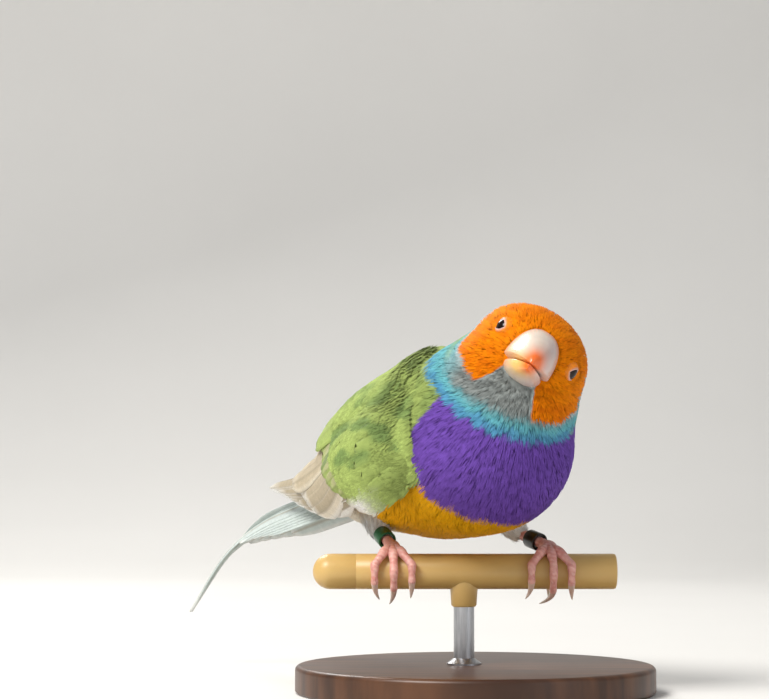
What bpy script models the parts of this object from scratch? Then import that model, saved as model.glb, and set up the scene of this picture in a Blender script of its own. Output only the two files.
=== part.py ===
"""A gouldian finch, life size, gripping a short cut length of perch on a plain display stand.

Lengths are in millimetres here and become metres where a mesh is made. X runs to the right of
the viewer, Y away from the viewer and Z up from the underside of the stand's base. The bird has
two frames of its own, one for the body and one for the head, whose rows point forward, to the
bird's left and to its back.
"""

import functools

import bmesh
import bpy
import numpy as np

MM = 0.001
GAP = 0.3           # clear space between neighbouring nodes
AROUND = 34         # points round the body

# Perch and stand
PERCH_HEIGHT = 22.0
PERCH_RADIUS = 3.25
PERCH_LEFT, PERCH_RIGHT = -29.8, 26.0
BOSS_X = -2.0
BOSS_LENGTH = 3.2
BOSS_RADII = (2.7, 2.3)
BASE_RADIUS = 33.0
BASE_THICKNESS = 5.0
BASE_BEVEL = 0.9
ROD_RADIUS = 1.9

# Body
BODY_AT = np.array([-6.0, 4.0, PERCH_HEIGHT + 21.5])
BODY_HEADING, BODY_PITCH = 38.0, 14.0
HEAD_AT = np.array([10.2, -20.0, PERCH_HEIGHT + 39.6])   # half way between the eyes
HEAD_HEADING, HEAD_PITCH, HEAD_ROLL, HEAD_NOD = 3.4, 3.0, -34.6, 8.0
MERGE = 1.1         # how softly the masses run into each other
TAIL_POLE = -34.0   # where the body's centre line starts, in the body frame
MASSES = (          # frame, centre, radii
    ("body", (-1, 0, 1), (29, 15.5, 14)),
    ("body", (12, 0, -2.5), (17, 16, 15)),
    ("body", (4, 0.8, -4.2), (19, 13.2, 12)),
    ("body", (-26, 0, 0.5), (15, 7, 5)),
    ("body", (13, 0, 7.8), (16, 12.5, 10)),
    ("head", (-11, 0, -10), (12, 12, 12.5)),
    ("head", (-8, 6.2, -9.5), (9, 7, 9)),
    ("head", (-6.6, 0, -1.1), (9.8, 10.7, 8.7)),
    ("head", (-1.2, 0, -1.5), (5.8, 6.4, 6.0)),
    ("head", (-3.8, 5.4, -7.5), (7.5, 5.8, 6.8)),
    ("head", (-3.8, -5.4, -7.5), (7.5, 5.8, 6.8)),
    ("head", (-4, 0, -9.5), (8, 8, 8)),
)
# Where the nodes of flesh part: a point and the normal towards the head
RUMP_CUT = ((-20, 0, 0), (1, 0, 0))        # in the body frame
NECK_CUT = ((3, 0, -17.5), (0.46, 0, 0.89))   # in the head frame, below the collar
HEAD_CUT = ((2, 0, -12.2), (0.52, 0, 0.85))   # in the head frame, under the cheeks

# Head
EYE_CENTRE = (-0.5, 6.2, 0.0)
EYE_FACING = (0.38, 0.92)   # forward and sideways share of the eye's axis
EYE_RADIUS = 2.1
LID_RADIUS, LID_THICKNESS, LID_OUT = 2.0, 0.5, 1.25
BILL_ROOT, BILL_TIP, LOWER_TIP = 2.2, 14.5, 12.7
BILL_TOP, BILL_TIP_HEIGHT, BILL_HALF_WIDTH = 3.3, -2.8, 4.5
GAPE_HEIGHT, LOWER_ROOT_HEIGHT, LOWER_TIP_HEIGHT, LOWER_HALF_WIDTH = -4.7, -6.5, -3.7, 3.6
MOUTH_GAP = 0.35

# Legs: the ankle is under the belly's feathers, the pad on top of the perch
ANKLES = {"right": (-18.9, 10.5, 30.6), "left": (6.3, 12.0, 29.8)}
THIGH_ROOTS = {"right": (-18.0, 10.5, 37.0), "left": (0.8, 8.0, 38.5)}   # inside the belly
PAD_X = {"right": -15.2, "left": 13.6}
TARSUS_RADIUS = 0.95
TOE_RADII = (0.95, 0.62)
TOE_GRIP = PERCH_RADIUS + GAP + TOE_RADII[0]
PAD_ANGLE = -4.0   # degrees forward of the perch's top, negative behind it
RING_INNER, RING_OUTER, RING_LENGTH, RING_ABOVE_PAD = 1.3, 1.7, 3.2, 2.65
PAD_RADII = (1.9, 1.5, 1.1)   # up the leg, across it and square to both
THIGH_SHARE = 0.34   # of the tarsus hidden in feathers
THIGH_RADII = (4.6, 3.2, 1.7)
# digit, sideways spread at the claw, length of the toe, length of the claw, sideways claw hook
TOES = {
    "right": (("ii", 3.6, 9.3, 3.2, -0.2), ("iii", 0.3, 11.0, 4.6, -0.8), ("iv", -3.2, 9.6, 3.4, 0.9)),
    "left": (("ii", -3.4, 9.4, 3.3, -1.0), ("iii", 0.6, 11.6, 5.0, -2.2), ("iv", 3.9, 9.8, 3.4, 0.3)),
}
HALLUX = ("i", 0.2, 7.6, 4.2, 0.0)

COLOURS = {
    "green_feather": (0.50, 0.60, 0.24),
    "orange_feather": (0.85, 0.33, 0.02),
    "purple_feather": (0.23, 0.14, 0.46),
    "yellow_feather": (0.72, 0.40, 0.05),
    "cream_feather": (0.70, 0.64, 0.54),
    "bill_horn": (0.80, 0.74, 0.66),
    "eye": (0.02, 0.012, 0.01),
    "leg_skin": (0.72, 0.40, 0.34),
    "claw_horn": (0.66, 0.55, 0.47),
    "green_ring": (0.01, 0.09, 0.03),
    "black_ring": (0.01, 0.01, 0.01),
    "perch_plastic": (0.68, 0.45, 0.18),
    "stand_wood": (0.10, 0.05, 0.025),
    "stand_steel": (0.55, 0.56, 0.58),
}


def unit(v):
    v = np.asarray(v, float)
    return v / np.linalg.norm(v, axis=-1, keepdims=True)


def facing(heading, pitch):
    """Frame whose forward axis turns from the viewer by the heading and rises by the pitch."""
    h, p = np.radians([heading, pitch])
    forward = np.array([np.sin(h) * np.cos(p), -np.cos(h) * np.cos(p), np.sin(p)])
    left = unit(np.cross([0, 0, 1.0], forward))
    return np.stack([forward, left, np.cross(forward, left)])


def rolled(frame, degrees):
    a = np.radians(degrees)
    f, left, up = frame
    return np.stack([f, left * np.cos(a) + up * np.sin(a), up * np.cos(a) - left * np.sin(a)])


def nodded(frame, degrees):
    a = np.radians(degrees)
    f, left, up = frame
    return np.stack([f * np.cos(a) - up * np.sin(a), left, up * np.cos(a) + f * np.sin(a)])


BODY = facing(BODY_HEADING, BODY_PITCH)
HEAD = nodded(rolled(facing(HEAD_HEADING, HEAD_PITCH), HEAD_ROLL), HEAD_NOD)


def in_body(point):
    return BODY_AT + np.asarray(point, float) @ BODY


def in_head(point):
    return HEAD_AT + np.asarray(point, float) @ HEAD


def body_coordinates(point):
    return (np.asarray(point, float) - BODY_AT) @ BODY.T


def field(points):
    """About how far each point is outside the bird's flesh and down."""
    distances = []
    for frame, centre, radii in MASSES:
        axes, at = (BODY, BODY_AT) if frame == "body" else (HEAD, HEAD_AT)
        radii = np.array(radii, float)
        q = (points - at - np.array(centre, float) @ axes) @ axes.T
        near = np.linalg.norm(q / radii, axis=-1)
        slope = np.linalg.norm(q / radii**2, axis=-1)
        distances.append(near * (near - 1) / np.maximum(slope, 1e-9))
    distances = np.stack(distances)
    least = distances.min(0)
    return least - MERGE * np.log(np.exp((least - distances) / MERGE).sum(0))


def slope_of_field(points, step=0.05):
    parts = [field(points + step * e) - field(points - step * e) for e in np.eye(3)]
    return unit(np.stack(parts, -1))


def pushed_out(points, clear):
    """Moves points that are nearer to the body than clear out to that distance."""
    points = np.array(points, float)
    for _ in range(8):
        short = np.maximum(clear - field(points), 0)
        points = points + slope_of_field(points) * short[..., None]
    return points


def bezier(corners, t):
    t = np.asarray(t, float)[..., None]
    a, b, c, d = corners
    return (1 - t)**3 * a + 3 * (1 - t)**2 * t * b + 3 * (1 - t) * t * t * c + t**3 * d


def through(points, t):
    """A smooth curve through the points, with t from 0 to 1."""
    points = np.asarray(points, float)
    last = len(points) - 1
    padded = np.vstack([2 * points[0] - points[1], points, 2 * points[-1] - points[-2]])
    x = np.clip(np.asarray(t, float) * last, 0, last - 1e-9)
    i = x.astype(int)
    f = (x - i)[..., None]
    p0, p1, p2, p3 = padded[i], padded[i + 1], padded[i + 2], padded[i + 3]
    cubic = (2 * p0 - 5 * p1 + 4 * p2 - p3) * f * f + (3 * p1 - p0 - 3 * p2 + p3) * f**3
    return 0.5 * (2 * p1 + (p2 - p0) * f + cubic)


SPINE_START = in_body((TAIL_POLE, 0, 0.5))
SPINE_END = in_head((-6.0, 0, -2.0))
SPINE = np.array([SPINE_START, SPINE_START + 26 * BODY[0],
                  SPINE_END - 14 * HEAD[0] - 14 * HEAD[2], SPINE_END])


def cast(origins, directions, level):
    """Where rays from inside the bird first leave it, at this level of the field."""
    reach = np.linspace(0, 45, 90)
    inside = np.stack([field(origins + directions * r) for r in reach]) < level
    first_out = np.argmax(~inside, axis=0)
    high = reach[first_out]
    low = reach[np.maximum(first_out - 1, 0)]
    for _ in range(16):
        middle = (low + high) / 2
        within = field(origins + directions * middle[..., None]) < level
        low = np.where(within, middle, low)
        high = np.where(within, high, middle)
    return origins + directions * high[..., None]


def ring(origin, forward, up, polar, level):
    """Points round the bird. A polar angle of 90 degrees gives a flat ring across it."""
    left = unit(np.cross(up, forward))
    up = np.cross(forward, left)
    phi = np.linspace(0, 2 * np.pi, AROUND, endpoint=False)[:, None]
    side = np.cos(phi) * up + np.sin(phi) * left
    directions = np.cos(polar) * forward + np.sin(polar) * side
    return cast(np.tile(origin, (AROUND, 1)), directions, level)


def section(t, level=0.0):
    """The flat ring across the centre line at t."""
    forward = unit((1 - t) * BODY[0] + t * HEAD[0])
    up = unit((1 - t) * BODY[2] + t * HEAD[2])
    return ring(bezier(SPINE, t), forward, up, np.pi / 2, level)


def even_places(start, end, count):
    """Places along the centre line whose rings are about equally far apart on the skin."""
    fine = np.linspace(start, end, 25)
    rings = np.array([section(t) for t in fine])
    steps = np.linalg.norm(np.diff(rings, axis=0), axis=-1).mean(1)
    travelled = np.concatenate([[0], np.cumsum(steps)])
    return np.interp(np.linspace(0, travelled[-1], count), travelled, fine)


def tail_cap(count, level=0.0):
    """Rings that close the bird behind, with the pole first."""
    pole = cast(SPINE_START[None], -BODY[0][None], level)[0]
    angles = np.pi - np.pi / 2 * np.arange(1, count) / count
    return pole, [ring(SPINE_START, BODY[0], BODY[2], a, level) for a in angles]


def head_cap(count, level=0.0):
    """Rings that close the bird in front, with the pole last."""
    angles = np.pi / 2 * (1 - np.arange(1, count) / count)
    rings = [ring(SPINE_END, HEAD[0], HEAD[2], a, level) for a in angles]
    return rings, cast(SPINE_END[None], HEAD[0][None], level)[0]


def loft(rings, first=None, last=None):
    """(points, triangles) of a closed form through rings of one size, with a fan at each end."""
    rings = [np.asarray(r, float) for r in rings]
    n = len(rings[0])
    first = rings[0].mean(0) if first is None else first
    last = rings[-1].mean(0) if last is None else last
    points = np.vstack([*rings, first[None], last[None]])
    j = np.arange(n)
    k = (j + 1) % n
    faces = []
    for i in range(len(rings) - 1):
        a, b = i * n, (i + 1) * n
        faces += np.stack([a + j, a + k, b + k], 1).tolist()
        faces += np.stack([a + j, b + k, b + j], 1).tolist()
    top = (len(rings) - 1) * n
    faces += np.stack([k, j, np.full(n, len(rings) * n)], 1).tolist()
    faces += np.stack([top + j, top + k, np.full(n, len(rings) * n + 1)], 1).tolist()
    return points, faces


def material(name):
    """A Principled material in the part's own colour."""
    found = bpy.data.materials.get(name)
    if found:
        return found
    made = bpy.data.materials.new(name)
    made.use_nodes = True
    shader = made.node_tree.nodes["Principled BSDF"]
    shader.inputs["Base Color"].default_value = (*COLOURS[name], 1.0)
    shader.inputs["Roughness"].default_value = 0.35 if name.startswith("stand") else 0.6
    shader.inputs["Metallic"].default_value = 1.0 if name == "stand_steel" else 0.0
    return made


def solid(name, shape, colour):
    """A closed mesh object from (points, faces) in millimetres, with its faces turned outward."""
    points, faces = shape
    mesh = bpy.data.meshes.new(name)
    mesh.from_pydata((np.asarray(points) * MM).tolist(), [], faces)
    form = bmesh.new()
    form.from_mesh(mesh)
    bmesh.ops.triangulate(form, faces=form.faces[:])
    bmesh.ops.recalc_face_normals(form, faces=form.faces[:])
    if form.calc_volume(signed=True) < 0:
        bmesh.ops.reverse_faces(form, faces=form.faces[:])
    form.to_mesh(mesh)
    form.free()
    mesh.materials.append(material(colour))
    mesh.shade_smooth()
    mesh.set_sharp_from_angle(angle=np.radians(40))
    made = bpy.data.objects.new(name, mesh)
    bpy.context.scene.collection.objects.link(made)
    return made


def keep_largest(node):
    """Drops every closed surface of the node but the one that holds the most."""
    form = bmesh.new()
    form.from_mesh(node.data)
    left = set(form.faces)
    pieces = []
    while left:
        piece = {left.pop()}
        edge = list(piece)
        while edge:
            face = edge.pop()
            for link in (f for e in face.edges for f in e.link_faces if f in left):
                left.discard(link)
                piece.add(link)
                edge.append(link)
        volume = 0.0
        for face in piece:
            a, b, c = (v.co for v in face.verts[:3])
            volume += a.dot(b.cross(c)) / 6
        pieces.append((abs(volume), piece))
    biggest = max(pieces, key=lambda p: p[0])[1]
    spare = [f for f in form.faces if f not in biggest]
    bmesh.ops.delete(form, geom=spare, context="FACES")
    form.to_mesh(node.data)
    form.free()


def joined(node, others, operation="UNION", solver="EXACT"):
    """Fuses the other objects to the node, or cuts them from it, by one Boolean, and removes them."""
    group = bpy.data.collections.new("tools")
    bpy.context.scene.collection.children.link(group)
    for other in others:
        bpy.context.scene.collection.objects.unlink(other)
        group.objects.link(other)
    boolean = node.modifiers.new("join", "BOOLEAN")
    boolean.operation = operation
    boolean.operand_type = "COLLECTION"
    boolean.collection = group
    boolean.solver = solver
    bpy.context.view_layer.objects.active = node
    bpy.ops.object.modifier_apply(modifier=boolean.name)
    for other in list(group.objects):
        bpy.data.objects.remove(other)
    bpy.data.collections.remove(group)
    form = bmesh.new()
    form.from_mesh(node.data)
    bmesh.ops.triangulate(form, faces=form.faces[:])
    form.to_mesh(node.data)
    form.free()
    keep_largest(node)
    return node


def ellipsoid(centre, axes, radii, rings=8, around=12):
    """(points, faces) of an ellipsoid whose poles lie on the first axis."""
    axes = np.asarray(axes, float)
    phi = np.linspace(0, 2 * np.pi, around, endpoint=False)
    rows = []
    for a in np.pi * np.arange(1, rings) / rings:
        local = np.stack([np.full(around, -np.cos(a)), np.sin(a) * np.cos(phi), np.sin(a) * np.sin(phi)], 1)
        rows.append(centre + (local * radii) @ axes)
    return loft(rows, centre - radii[0] * axes[0], centre + radii[0] * axes[0])


def tube(path, radii, sides=8, hint=(0, 0, 1.0), squash=1.0):
    """(points, faces) of a tapered tube along the path, flattened across the hint by squash."""
    path = np.asarray(path, float)
    tangent = unit(np.gradient(path, axis=0))
    radii = np.broadcast_to(radii, (len(path),))
    phi = np.linspace(0, 2 * np.pi, sides, endpoint=False)[:, None]
    rings = []
    for point, along, radius in zip(path, tangent, radii):
        side = unit(np.cross(along, hint))
        up = np.cross(side, along)
        rings.append(point + radius * (np.cos(phi) * side + np.sin(phi) * up * squash))
    return loft(rings, path[0], path[-1])


def parted(name, cuts, colour):
    """The part of the bird's body on the kept side of each cut: a point and a normal to keep behind."""
    node = solid(name, grown_body(0.0), colour)
    form = bmesh.new()
    form.from_mesh(node.data)
    for point, normal in cuts:
        everything = [*form.verts, *form.edges, *form.faces]
        bmesh.ops.bisect_plane(form, geom=everything, plane_co=(point * MM).tolist(),
                               plane_no=normal.tolist(), clear_outer=True)
        rim = [e for e in form.edges if e.is_boundary]
        bmesh.ops.holes_fill(form, edges=rim, sides=0)
        bmesh.ops.triangulate(form, faces=[f for f in form.faces if len(f.verts) > 3])
    bmesh.ops.recalc_face_normals(form, faces=form.faces[:])
    form.to_mesh(node.data)
    form.free()
    return node


def flesh_nodes():
    """Rump, torso, neck and head: the whole body parted by three thin flat cuts."""
    places = (
        (in_body(RUMP_CUT[0]), unit(RUMP_CUT[1]) @ BODY),
        (in_head(NECK_CUT[0]), unit(NECK_CUT[1]) @ HEAD),
        (in_head(HEAD_CUT[0]), unit(HEAD_CUT[1]) @ HEAD),
    )
    behind = [(point - n * GAP / 2, n) for point, n in places]
    ahead = [(point + n * GAP / 2, -n) for point, n in places]
    parted("rump", [behind[0]], "cream_feather")
    parted("torso", [ahead[0], behind[1]], "purple_feather")
    parted("neck", [ahead[1], behind[2]], "green_feather")
    return parted("head", [ahead[2]], "orange_feather")


@functools.lru_cache
def grown_body(level=GAP):
    """The whole bird without wings, tail and legs, grown by the level."""
    tail_pole, tail_rings = tail_cap(4, level)
    trunk = [section(t, level) for t in even_places(0.0, 1.0, 27)]
    head_rings, head_pole = head_cap(7, level)
    return loft([*tail_rings, *trunk, *head_rings], tail_pole, head_pole)


def body_cutter(name):
    """The grown body as an object that cuts what meets the bird."""
    return solid(name, grown_body(), "eye")


def eyes_and_lids(head):
    """Each eye is a ball in a socket, held by a raised ring of lid that is part of the head."""
    lids, sockets = [], []
    for side, sign in (("right", -1), ("left", 1)):
        centre = in_head((EYE_CENTRE[0], sign * EYE_CENTRE[1], EYE_CENTRE[2]))
        out = unit(EYE_FACING[0] * HEAD[0] + EYE_FACING[1] * sign * HEAD[1])
        across = unit(np.cross(HEAD[2], out))
        up = np.cross(out, across)
        phi = np.linspace(0, 2 * np.pi, 24, endpoint=False)
        theta = np.linspace(0, 2 * np.pi, 8, endpoint=False)
        rings = []
        for a in phi:
            spoke = np.cos(a) * across + np.sin(a) * up
            middle = centre + LID_OUT * out + LID_RADIUS * spoke
            rings.append([middle + LID_THICKNESS * (np.cos(b) * spoke + np.sin(b) * out) for b in theta])
        points = np.array(rings).reshape(-1, 3)
        faces = []
        for i in range(24):
            for j in range(8):
                a, b = i * 8 + j, i * 8 + (j + 1) % 8
                c, d = (i + 1) % 24 * 8 + (j + 1) % 8, (i + 1) % 24 * 8 + j
                faces += [[a, b, c], [a, c, d]]
        lids.append(solid("lid", (points, faces), "orange_feather"))
        axes = np.stack([out, across, up])
        sockets.append(solid("socket", ellipsoid(centre, axes, np.full(3, EYE_RADIUS + GAP), 10, 16), "eye"))
        solid(f"eye_{side}", ellipsoid(centre, axes, np.full(3, EYE_RADIUS), 8, 14), "eye")
    joined(head, lids)
    joined(head, sockets, "DIFFERENCE")


def bill_rings(root, tip, top, bottom, half_width, seat, count, around=14):
    """Rings across a mandible. Top and bottom give its height at a share of its length, and seat is
    how far up that height it is widest."""
    rings = []
    for s in 1 - (1 - np.linspace(0, 0.985, count))**1.25:
        x = root + (tip - root) * s
        high, low = top(s), bottom(s)
        width = half_width * (1 - s**2.1)**0.8 + 0.12
        a = np.linspace(0, 2 * np.pi, around, endpoint=False)
        y = width * np.sign(np.cos(a)) * np.abs(np.cos(a))**0.8
        middle = low + (high - low) * seat
        z = np.where(np.sin(a) > 0, middle + (high - middle) * np.sin(a), middle + (middle - low) * np.sin(a))
        rings.append(in_head(np.stack([np.full(around, x), y, z], 1)))
    return rings


def gape(s):
    """Height of the mouth line: it drops towards the corner of the mouth."""
    return GAPE_HEIGHT + (BILL_TIP_HEIGHT - 0.15 - GAPE_HEIGHT) * np.minimum(s * 1.05, 1)**0.8


def bill():
    """Upper and lower mandible, cut to the face, with the nostrils as two pits at the root."""

    def culmen(s):
        return BILL_TIP_HEIGHT + (BILL_TOP - BILL_TIP_HEIGHT) * (1 - s**1.75)**0.72 + 0.1

    def underside(s):
        return LOWER_TIP_HEIGHT - 0.35 + (LOWER_ROOT_HEIGHT - LOWER_TIP_HEIGHT) * (1 - s**1.5)**0.8

    upper_rings = bill_rings(BILL_ROOT, BILL_TIP, culmen, gape, BILL_HALF_WIDTH, 0.12, 9)
    upper = solid("bill_upper", loft(upper_rings), "bill_horn")
    share = (LOWER_TIP - BILL_ROOT) / (BILL_TIP - BILL_ROOT)
    lower_rings = bill_rings(BILL_ROOT, LOWER_TIP, lambda s: gape(s * share) - MOUTH_GAP, underside,
                             LOWER_HALF_WIDTH, 0.88, 8)
    lower = solid("bill_lower", loft(lower_rings), "bill_horn")
    nostrils = []
    for sign in (-1, 1):
        at = in_head((4.6, sign * 2.5, 2.6))
        nostrils.append(solid("pit", ellipsoid(at, HEAD, np.array([0.75, 0.5, 0.6]), 5, 8), "eye"))
    joined(upper, [body_cutter("face_cut"), *nostrils], "DIFFERENCE")
    joined(lower, [body_cutter("face_cut")], "DIFFERENCE")


# Wings: guide points from the shoulder to the tip in the body frame, with y away from the middle
WING_GUIDES = {
    "right": (
        ((17, 12.5, -6.0), (3.2, 15.4, -9.4), (-7, 13.4, -9.3), (-17, 11.0, -7.8), (-29, 7.9, -4.3),
         (-38, 6.9, -0.4), (-46.5, 5.9, 4.6)),
        ((15, 15.5, 5), (4, 18.5, 3), (-8, 17.5, 2), (-19, 13.5, 1.5), (-29, 9.6, 2.3), (-38, 7.6, 3.3),
         (-46.8, 6.0, 5.3)),
        ((13, 4, 17.5), (3, 1.6, 16.6), (-8, 1.2, 14.5), (-18, 1.2, 11.5), (-28, 2.2, 8.6),
         (-38, 4.3, 6.9), (-47, 5.7, 6.0)),
    ),
    "left": (
        ((17, 12.5, -6.0), (3.2, 15.6, -7.4), (-7, 15.4, -4.5), (-17, 13.6, 0.6), (-27, 11.4, 7.4),
         (-35, 10.2, 13.6), (-42, 9.4, 18.8)),
        ((15, 15.5, 5), (4, 18.5, 4), (-8, 18.0, 5.5), (-19, 14.8, 8.6), (-28, 12.4, 12.8),
         (-36, 10.6, 16.6), (-42.3, 9.5, 19.6)),
        ((13, 4, 17.5), (3, 1.6, 16.6), (-8, 2.0, 15.4), (-18, 3.6, 15.4), (-27, 5.6, 16.8),
         (-36, 8.2, 19.0), (-42.5, 9.3, 20.4)),
    ),
}
WING_CLEAR = 0.75   # between the wing's inner face and the body
CORE_END = 0.6      # share of the wing's length that the core takes
CORE_THICKNESS = 1.5
VANE_THICKNESS, QUILL_RIDGE = 0.55, 0.14
VANE_TIP = 0.3      # least half width of a vane
VANE_STATIONS = (0.0, 0.42, 0.8, 1.0)
# name: count, roots and tips of the first and last feather, half width, heights, tilt, pointedness
WING_TIERS = {
    "primaries": (7, ((0.34, 0.12), (0.34, 0.5)), ((0.78, 0.1), (1.0, 0.5)), 2.3, (0.2, 0.0), 0.1, 1.0),
    "secondaries": (5, ((0.3, 0.3), (0.34, 0.72)), ((0.66, 0.12), (0.74, 0.6)), 2.9, (0.4, 0.65), 0.16, 0.7),
    "tertials": (3, ((0.34, 0.62), (0.34, 0.88)), ((0.76, 0.5), (0.62, 0.88)), 3.2, (0.6, 1.2), 0.16, 0.8),
    "greater_coverts": (6, ((0.14, 0.14), (0.16, 0.66)), ((0.42, 0.08), (0.46, 0.62)), 2.7, (0.8, 1.25), 0.16, 0.6),
    "median_coverts": (5, ((0.05, 0.2), (0.06, 0.7)), ((0.27, 0.14), (0.3, 0.68)), 2.9, (0.8, 1.75), 0.16, 0.6),
    "scapulars": (3, ((0.05, 0.74), (0.05, 0.95)), ((0.46, 0.76), (0.42, 0.93)), 3.2, (0.9, 1.9), 0.16, 0.6),
}


def wing_surface(side, u, v):
    """Points on the wing's inner face: u from shoulder to tip, v from lower to upper edge."""
    sign = -1 if side == "right" else 1
    mirror = np.array([1, sign, 1])
    low, crest, high = (through(np.array(g, float) * mirror, u) for g in WING_GUIDES[side])
    v = np.asarray(v, float)[..., None]
    local = (1 - v)**2 * low + 2 * v * (1 - v) * (2 * crest - (low + high) / 2) + v * v * high
    return in_body(local)


def wing_inner(side, u, v):
    """(points, outward normals) of the wing's inner face, held clear of the body."""
    out = 1.0 if side == "left" else -1.0
    step = 0.01

    def face(a, b):
        return pushed_out(wing_surface(side, a, b), WING_CLEAR)

    along = face(np.minimum(u + step, 1.0), v) - face(np.maximum(u - step, 0.0), v)
    across = face(u, v + step) - face(u, v - step)
    normal = unit(np.cross(along, across)) * out
    return face(u, v), normal


def wing_core(side):
    """The arm and the roots of the feathers as one thin shell on the body."""
    u = np.linspace(0.0, CORE_END, 10)[:, None] * np.ones((1, 7))
    v = np.ones((10, 1)) * np.linspace(0.05, 0.97, 7)[None]
    inner, out = wing_inner(side, u, v)
    edge = np.sin(np.pi * np.clip(u / CORE_END, 0.0, 0.5))**0.6
    thick = CORE_THICKNESS * (0.45 + 0.55 * edge) * (1 - 0.35 * u / CORE_END)
    return shell(inner, inner + out * thick[..., None])


def vane(side, start, end, half_width, heights, tilt, pointed):
    """One wing feather: a thin plate from start to end, each (u, v) on the wing's inner face. Heights
    are those of its lower face over that face at root and tip, and tilt lifts its upper edge."""
    s = np.array(VANE_STATIONS)
    u = start[0] + (end[0] - start[0]) * s
    v = start[1] + (end[1] - start[1]) * s**1.3
    taper = np.where(s < 0.45, 1.0, np.sqrt(np.maximum(1 - ((s - 0.45) / 0.555)**2, 0)))
    width = half_width * (0.55 + 0.45 * np.minimum(s / 0.25, 1)) * taper**pointed
    lower, upper = wing_surface(side, u, 0.0 * u), wing_surface(side, u, 0.0 * u + 1)
    crest = wing_surface(side, u, 0.0 * u + 0.5)
    span = np.linalg.norm(crest - lower, axis=1) + np.linalg.norm(upper - crest, axis=1)
    share = np.maximum(width, VANE_TIP) / span
    columns = np.array((-1.0, 0.0, 1.0))
    uu = u[:, None] * np.ones((1, 3))
    vv = np.clip(v[:, None] + share[:, None] * columns, 0.01, 1.0)
    inner, out = wing_inner(side, uu, vv)
    height = heights[0] + (heights[1] - heights[0]) * s[:, None] + tilt * columns
    bottom = inner + out * height[..., None]
    thick = VANE_THICKNESS + QUILL_RIDGE * (columns == 0)
    return shell(bottom, bottom + out * thick[None, :, None])


def tier(side, count, roots, tips, half_width, heights, tilt=0.16, pointed=1.0):
    """A row of like feathers. Roots and tips give (u, v) of the row's first and last feather."""
    vanes = []
    for k in range(count):
        share = k / (count - 1)
        start = [a + (b - a) * share for a, b in zip(*roots)]
        end = [a + (b - a) * share for a, b in zip(*tips)]
        lift = 0.05 * (k % 2)
        raised = (heights[0] + lift, heights[1] + lift)
        vanes.append(vane(side, start, end, half_width, raised, tilt, pointed))
    return vanes


def wing(side):
    """The folded wing: primaries and secondaries, then tertials, coverts and scapulars over them."""
    vanes = []
    for name, values in WING_TIERS.items():
        vanes += tier(side, *values)
    core = solid(f"wing_{side}", wing_core(side), "green_feather")
    joined(core, [solid("vane", shape, "green_feather") for shape in vanes], solver="MANIFOLD")


def shell(inner, outer):
    """(points, faces) of a closed plate between two grids, split alike on both faces."""
    rows, columns = inner.shape[:2]
    points = np.vstack([inner.reshape(-1, 3), outer.reshape(-1, 3)])
    top = rows * columns
    faces = []
    for i in range(rows - 1):
        for j in range(columns - 1):
            a, b = i * columns + j, i * columns + j + 1
            c, d = a + columns, b + columns
            faces += [[a, b, d], [a, d, c], [top + a, top + d, top + b], [top + a, top + c, top + d]]
    rim = [i * columns for i in range(rows)]
    rim += [(rows - 1) * columns + j for j in range(1, columns)]
    rim += [i * columns + columns - 1 for i in range(rows - 2, -1, -1)]
    rim += list(range(columns - 2, 0, -1))
    for a, b in zip(rim, rim[1:] + rim[:1]):
        faces += [[a, b, top + b], [a, top + b, top + a]]
    return points, faces


# Tail: centre line in the body frame, from inside the rump to the tips of the streamers
TAIL_LINE = ((-29, 0, 1.0), (-44, -0.8, 1.2), (-58, -1.8, 0.4), (-71, -2.8, -3.4), (-84, -4.4, -12.4))
TAIL_SLOPE = 42.0   # degrees that each half of the tail falls away from its ridge
TAIL_FEATHER = 2.0  # half width of a tail feather
TAIL_STEP = 0.36    # how far each pair lies under the one above it
# share of the tail's length that each pair reaches, from the outermost to the one beside the middle
TAIL_REACH = (0.40, 0.46, 0.52, 0.57, 0.62)
TAIL_SPREAD = 0.78  # millimetres between neighbouring feathers' middles
TAIL_STATIONS = (0.0, 0.3, 0.6, 0.84, 1.0)
STREAMER_STATIONS = (0.0, 0.15, 0.3, 0.45, 0.56, 0.64, 0.72, 0.86, 1.0)
STREAMER_WIDTHS = (1.2, 1.9, 2.2, 2.2, 1.6, 0.7, 0.42, 0.36, 0.3)


def tail_frame(t):
    """(centre, along, left, up) of the tail at a share of its length."""
    line = in_body(through(TAIL_LINE, t))
    ahead = in_body(through(TAIL_LINE, np.minimum(t + 0.01, 1)))
    behind = in_body(through(TAIL_LINE, np.maximum(t - 0.01, 0)))
    along = unit(ahead - behind)
    left = unit(np.cross(BODY[2], -along))
    return line, along, left, np.cross(-along, left)


def tail_vane(t, sign, offset, drop, half_width):
    """One tail feather along the places t of the tail's line, beside its middle by the offset."""
    line, _, left, up = tail_frame(t)
    slope = np.radians(TAIL_SLOPE) * sign
    side = left * np.cos(slope) - up * np.sin(slope)
    out = left * np.sin(slope) + up * np.cos(slope)
    beside = np.broadcast_to(offset, t.shape)[:, None]
    middle = line + side * beside * sign - out * drop
    width = np.broadcast_to(half_width, t.shape)[:, None]
    tilt = 0.12 * sign
    edges = [middle + side * width * c - out * tilt * c for c in (-1.0, 0.0, 1.0)]
    bottom = np.stack(edges, 1)
    thick = VANE_THICKNESS + QUILL_RIDGE * np.array((0.0, 1.0, 0.0))
    return shell(bottom, bottom + out[:, None] * thick[None, :, None])


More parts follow.
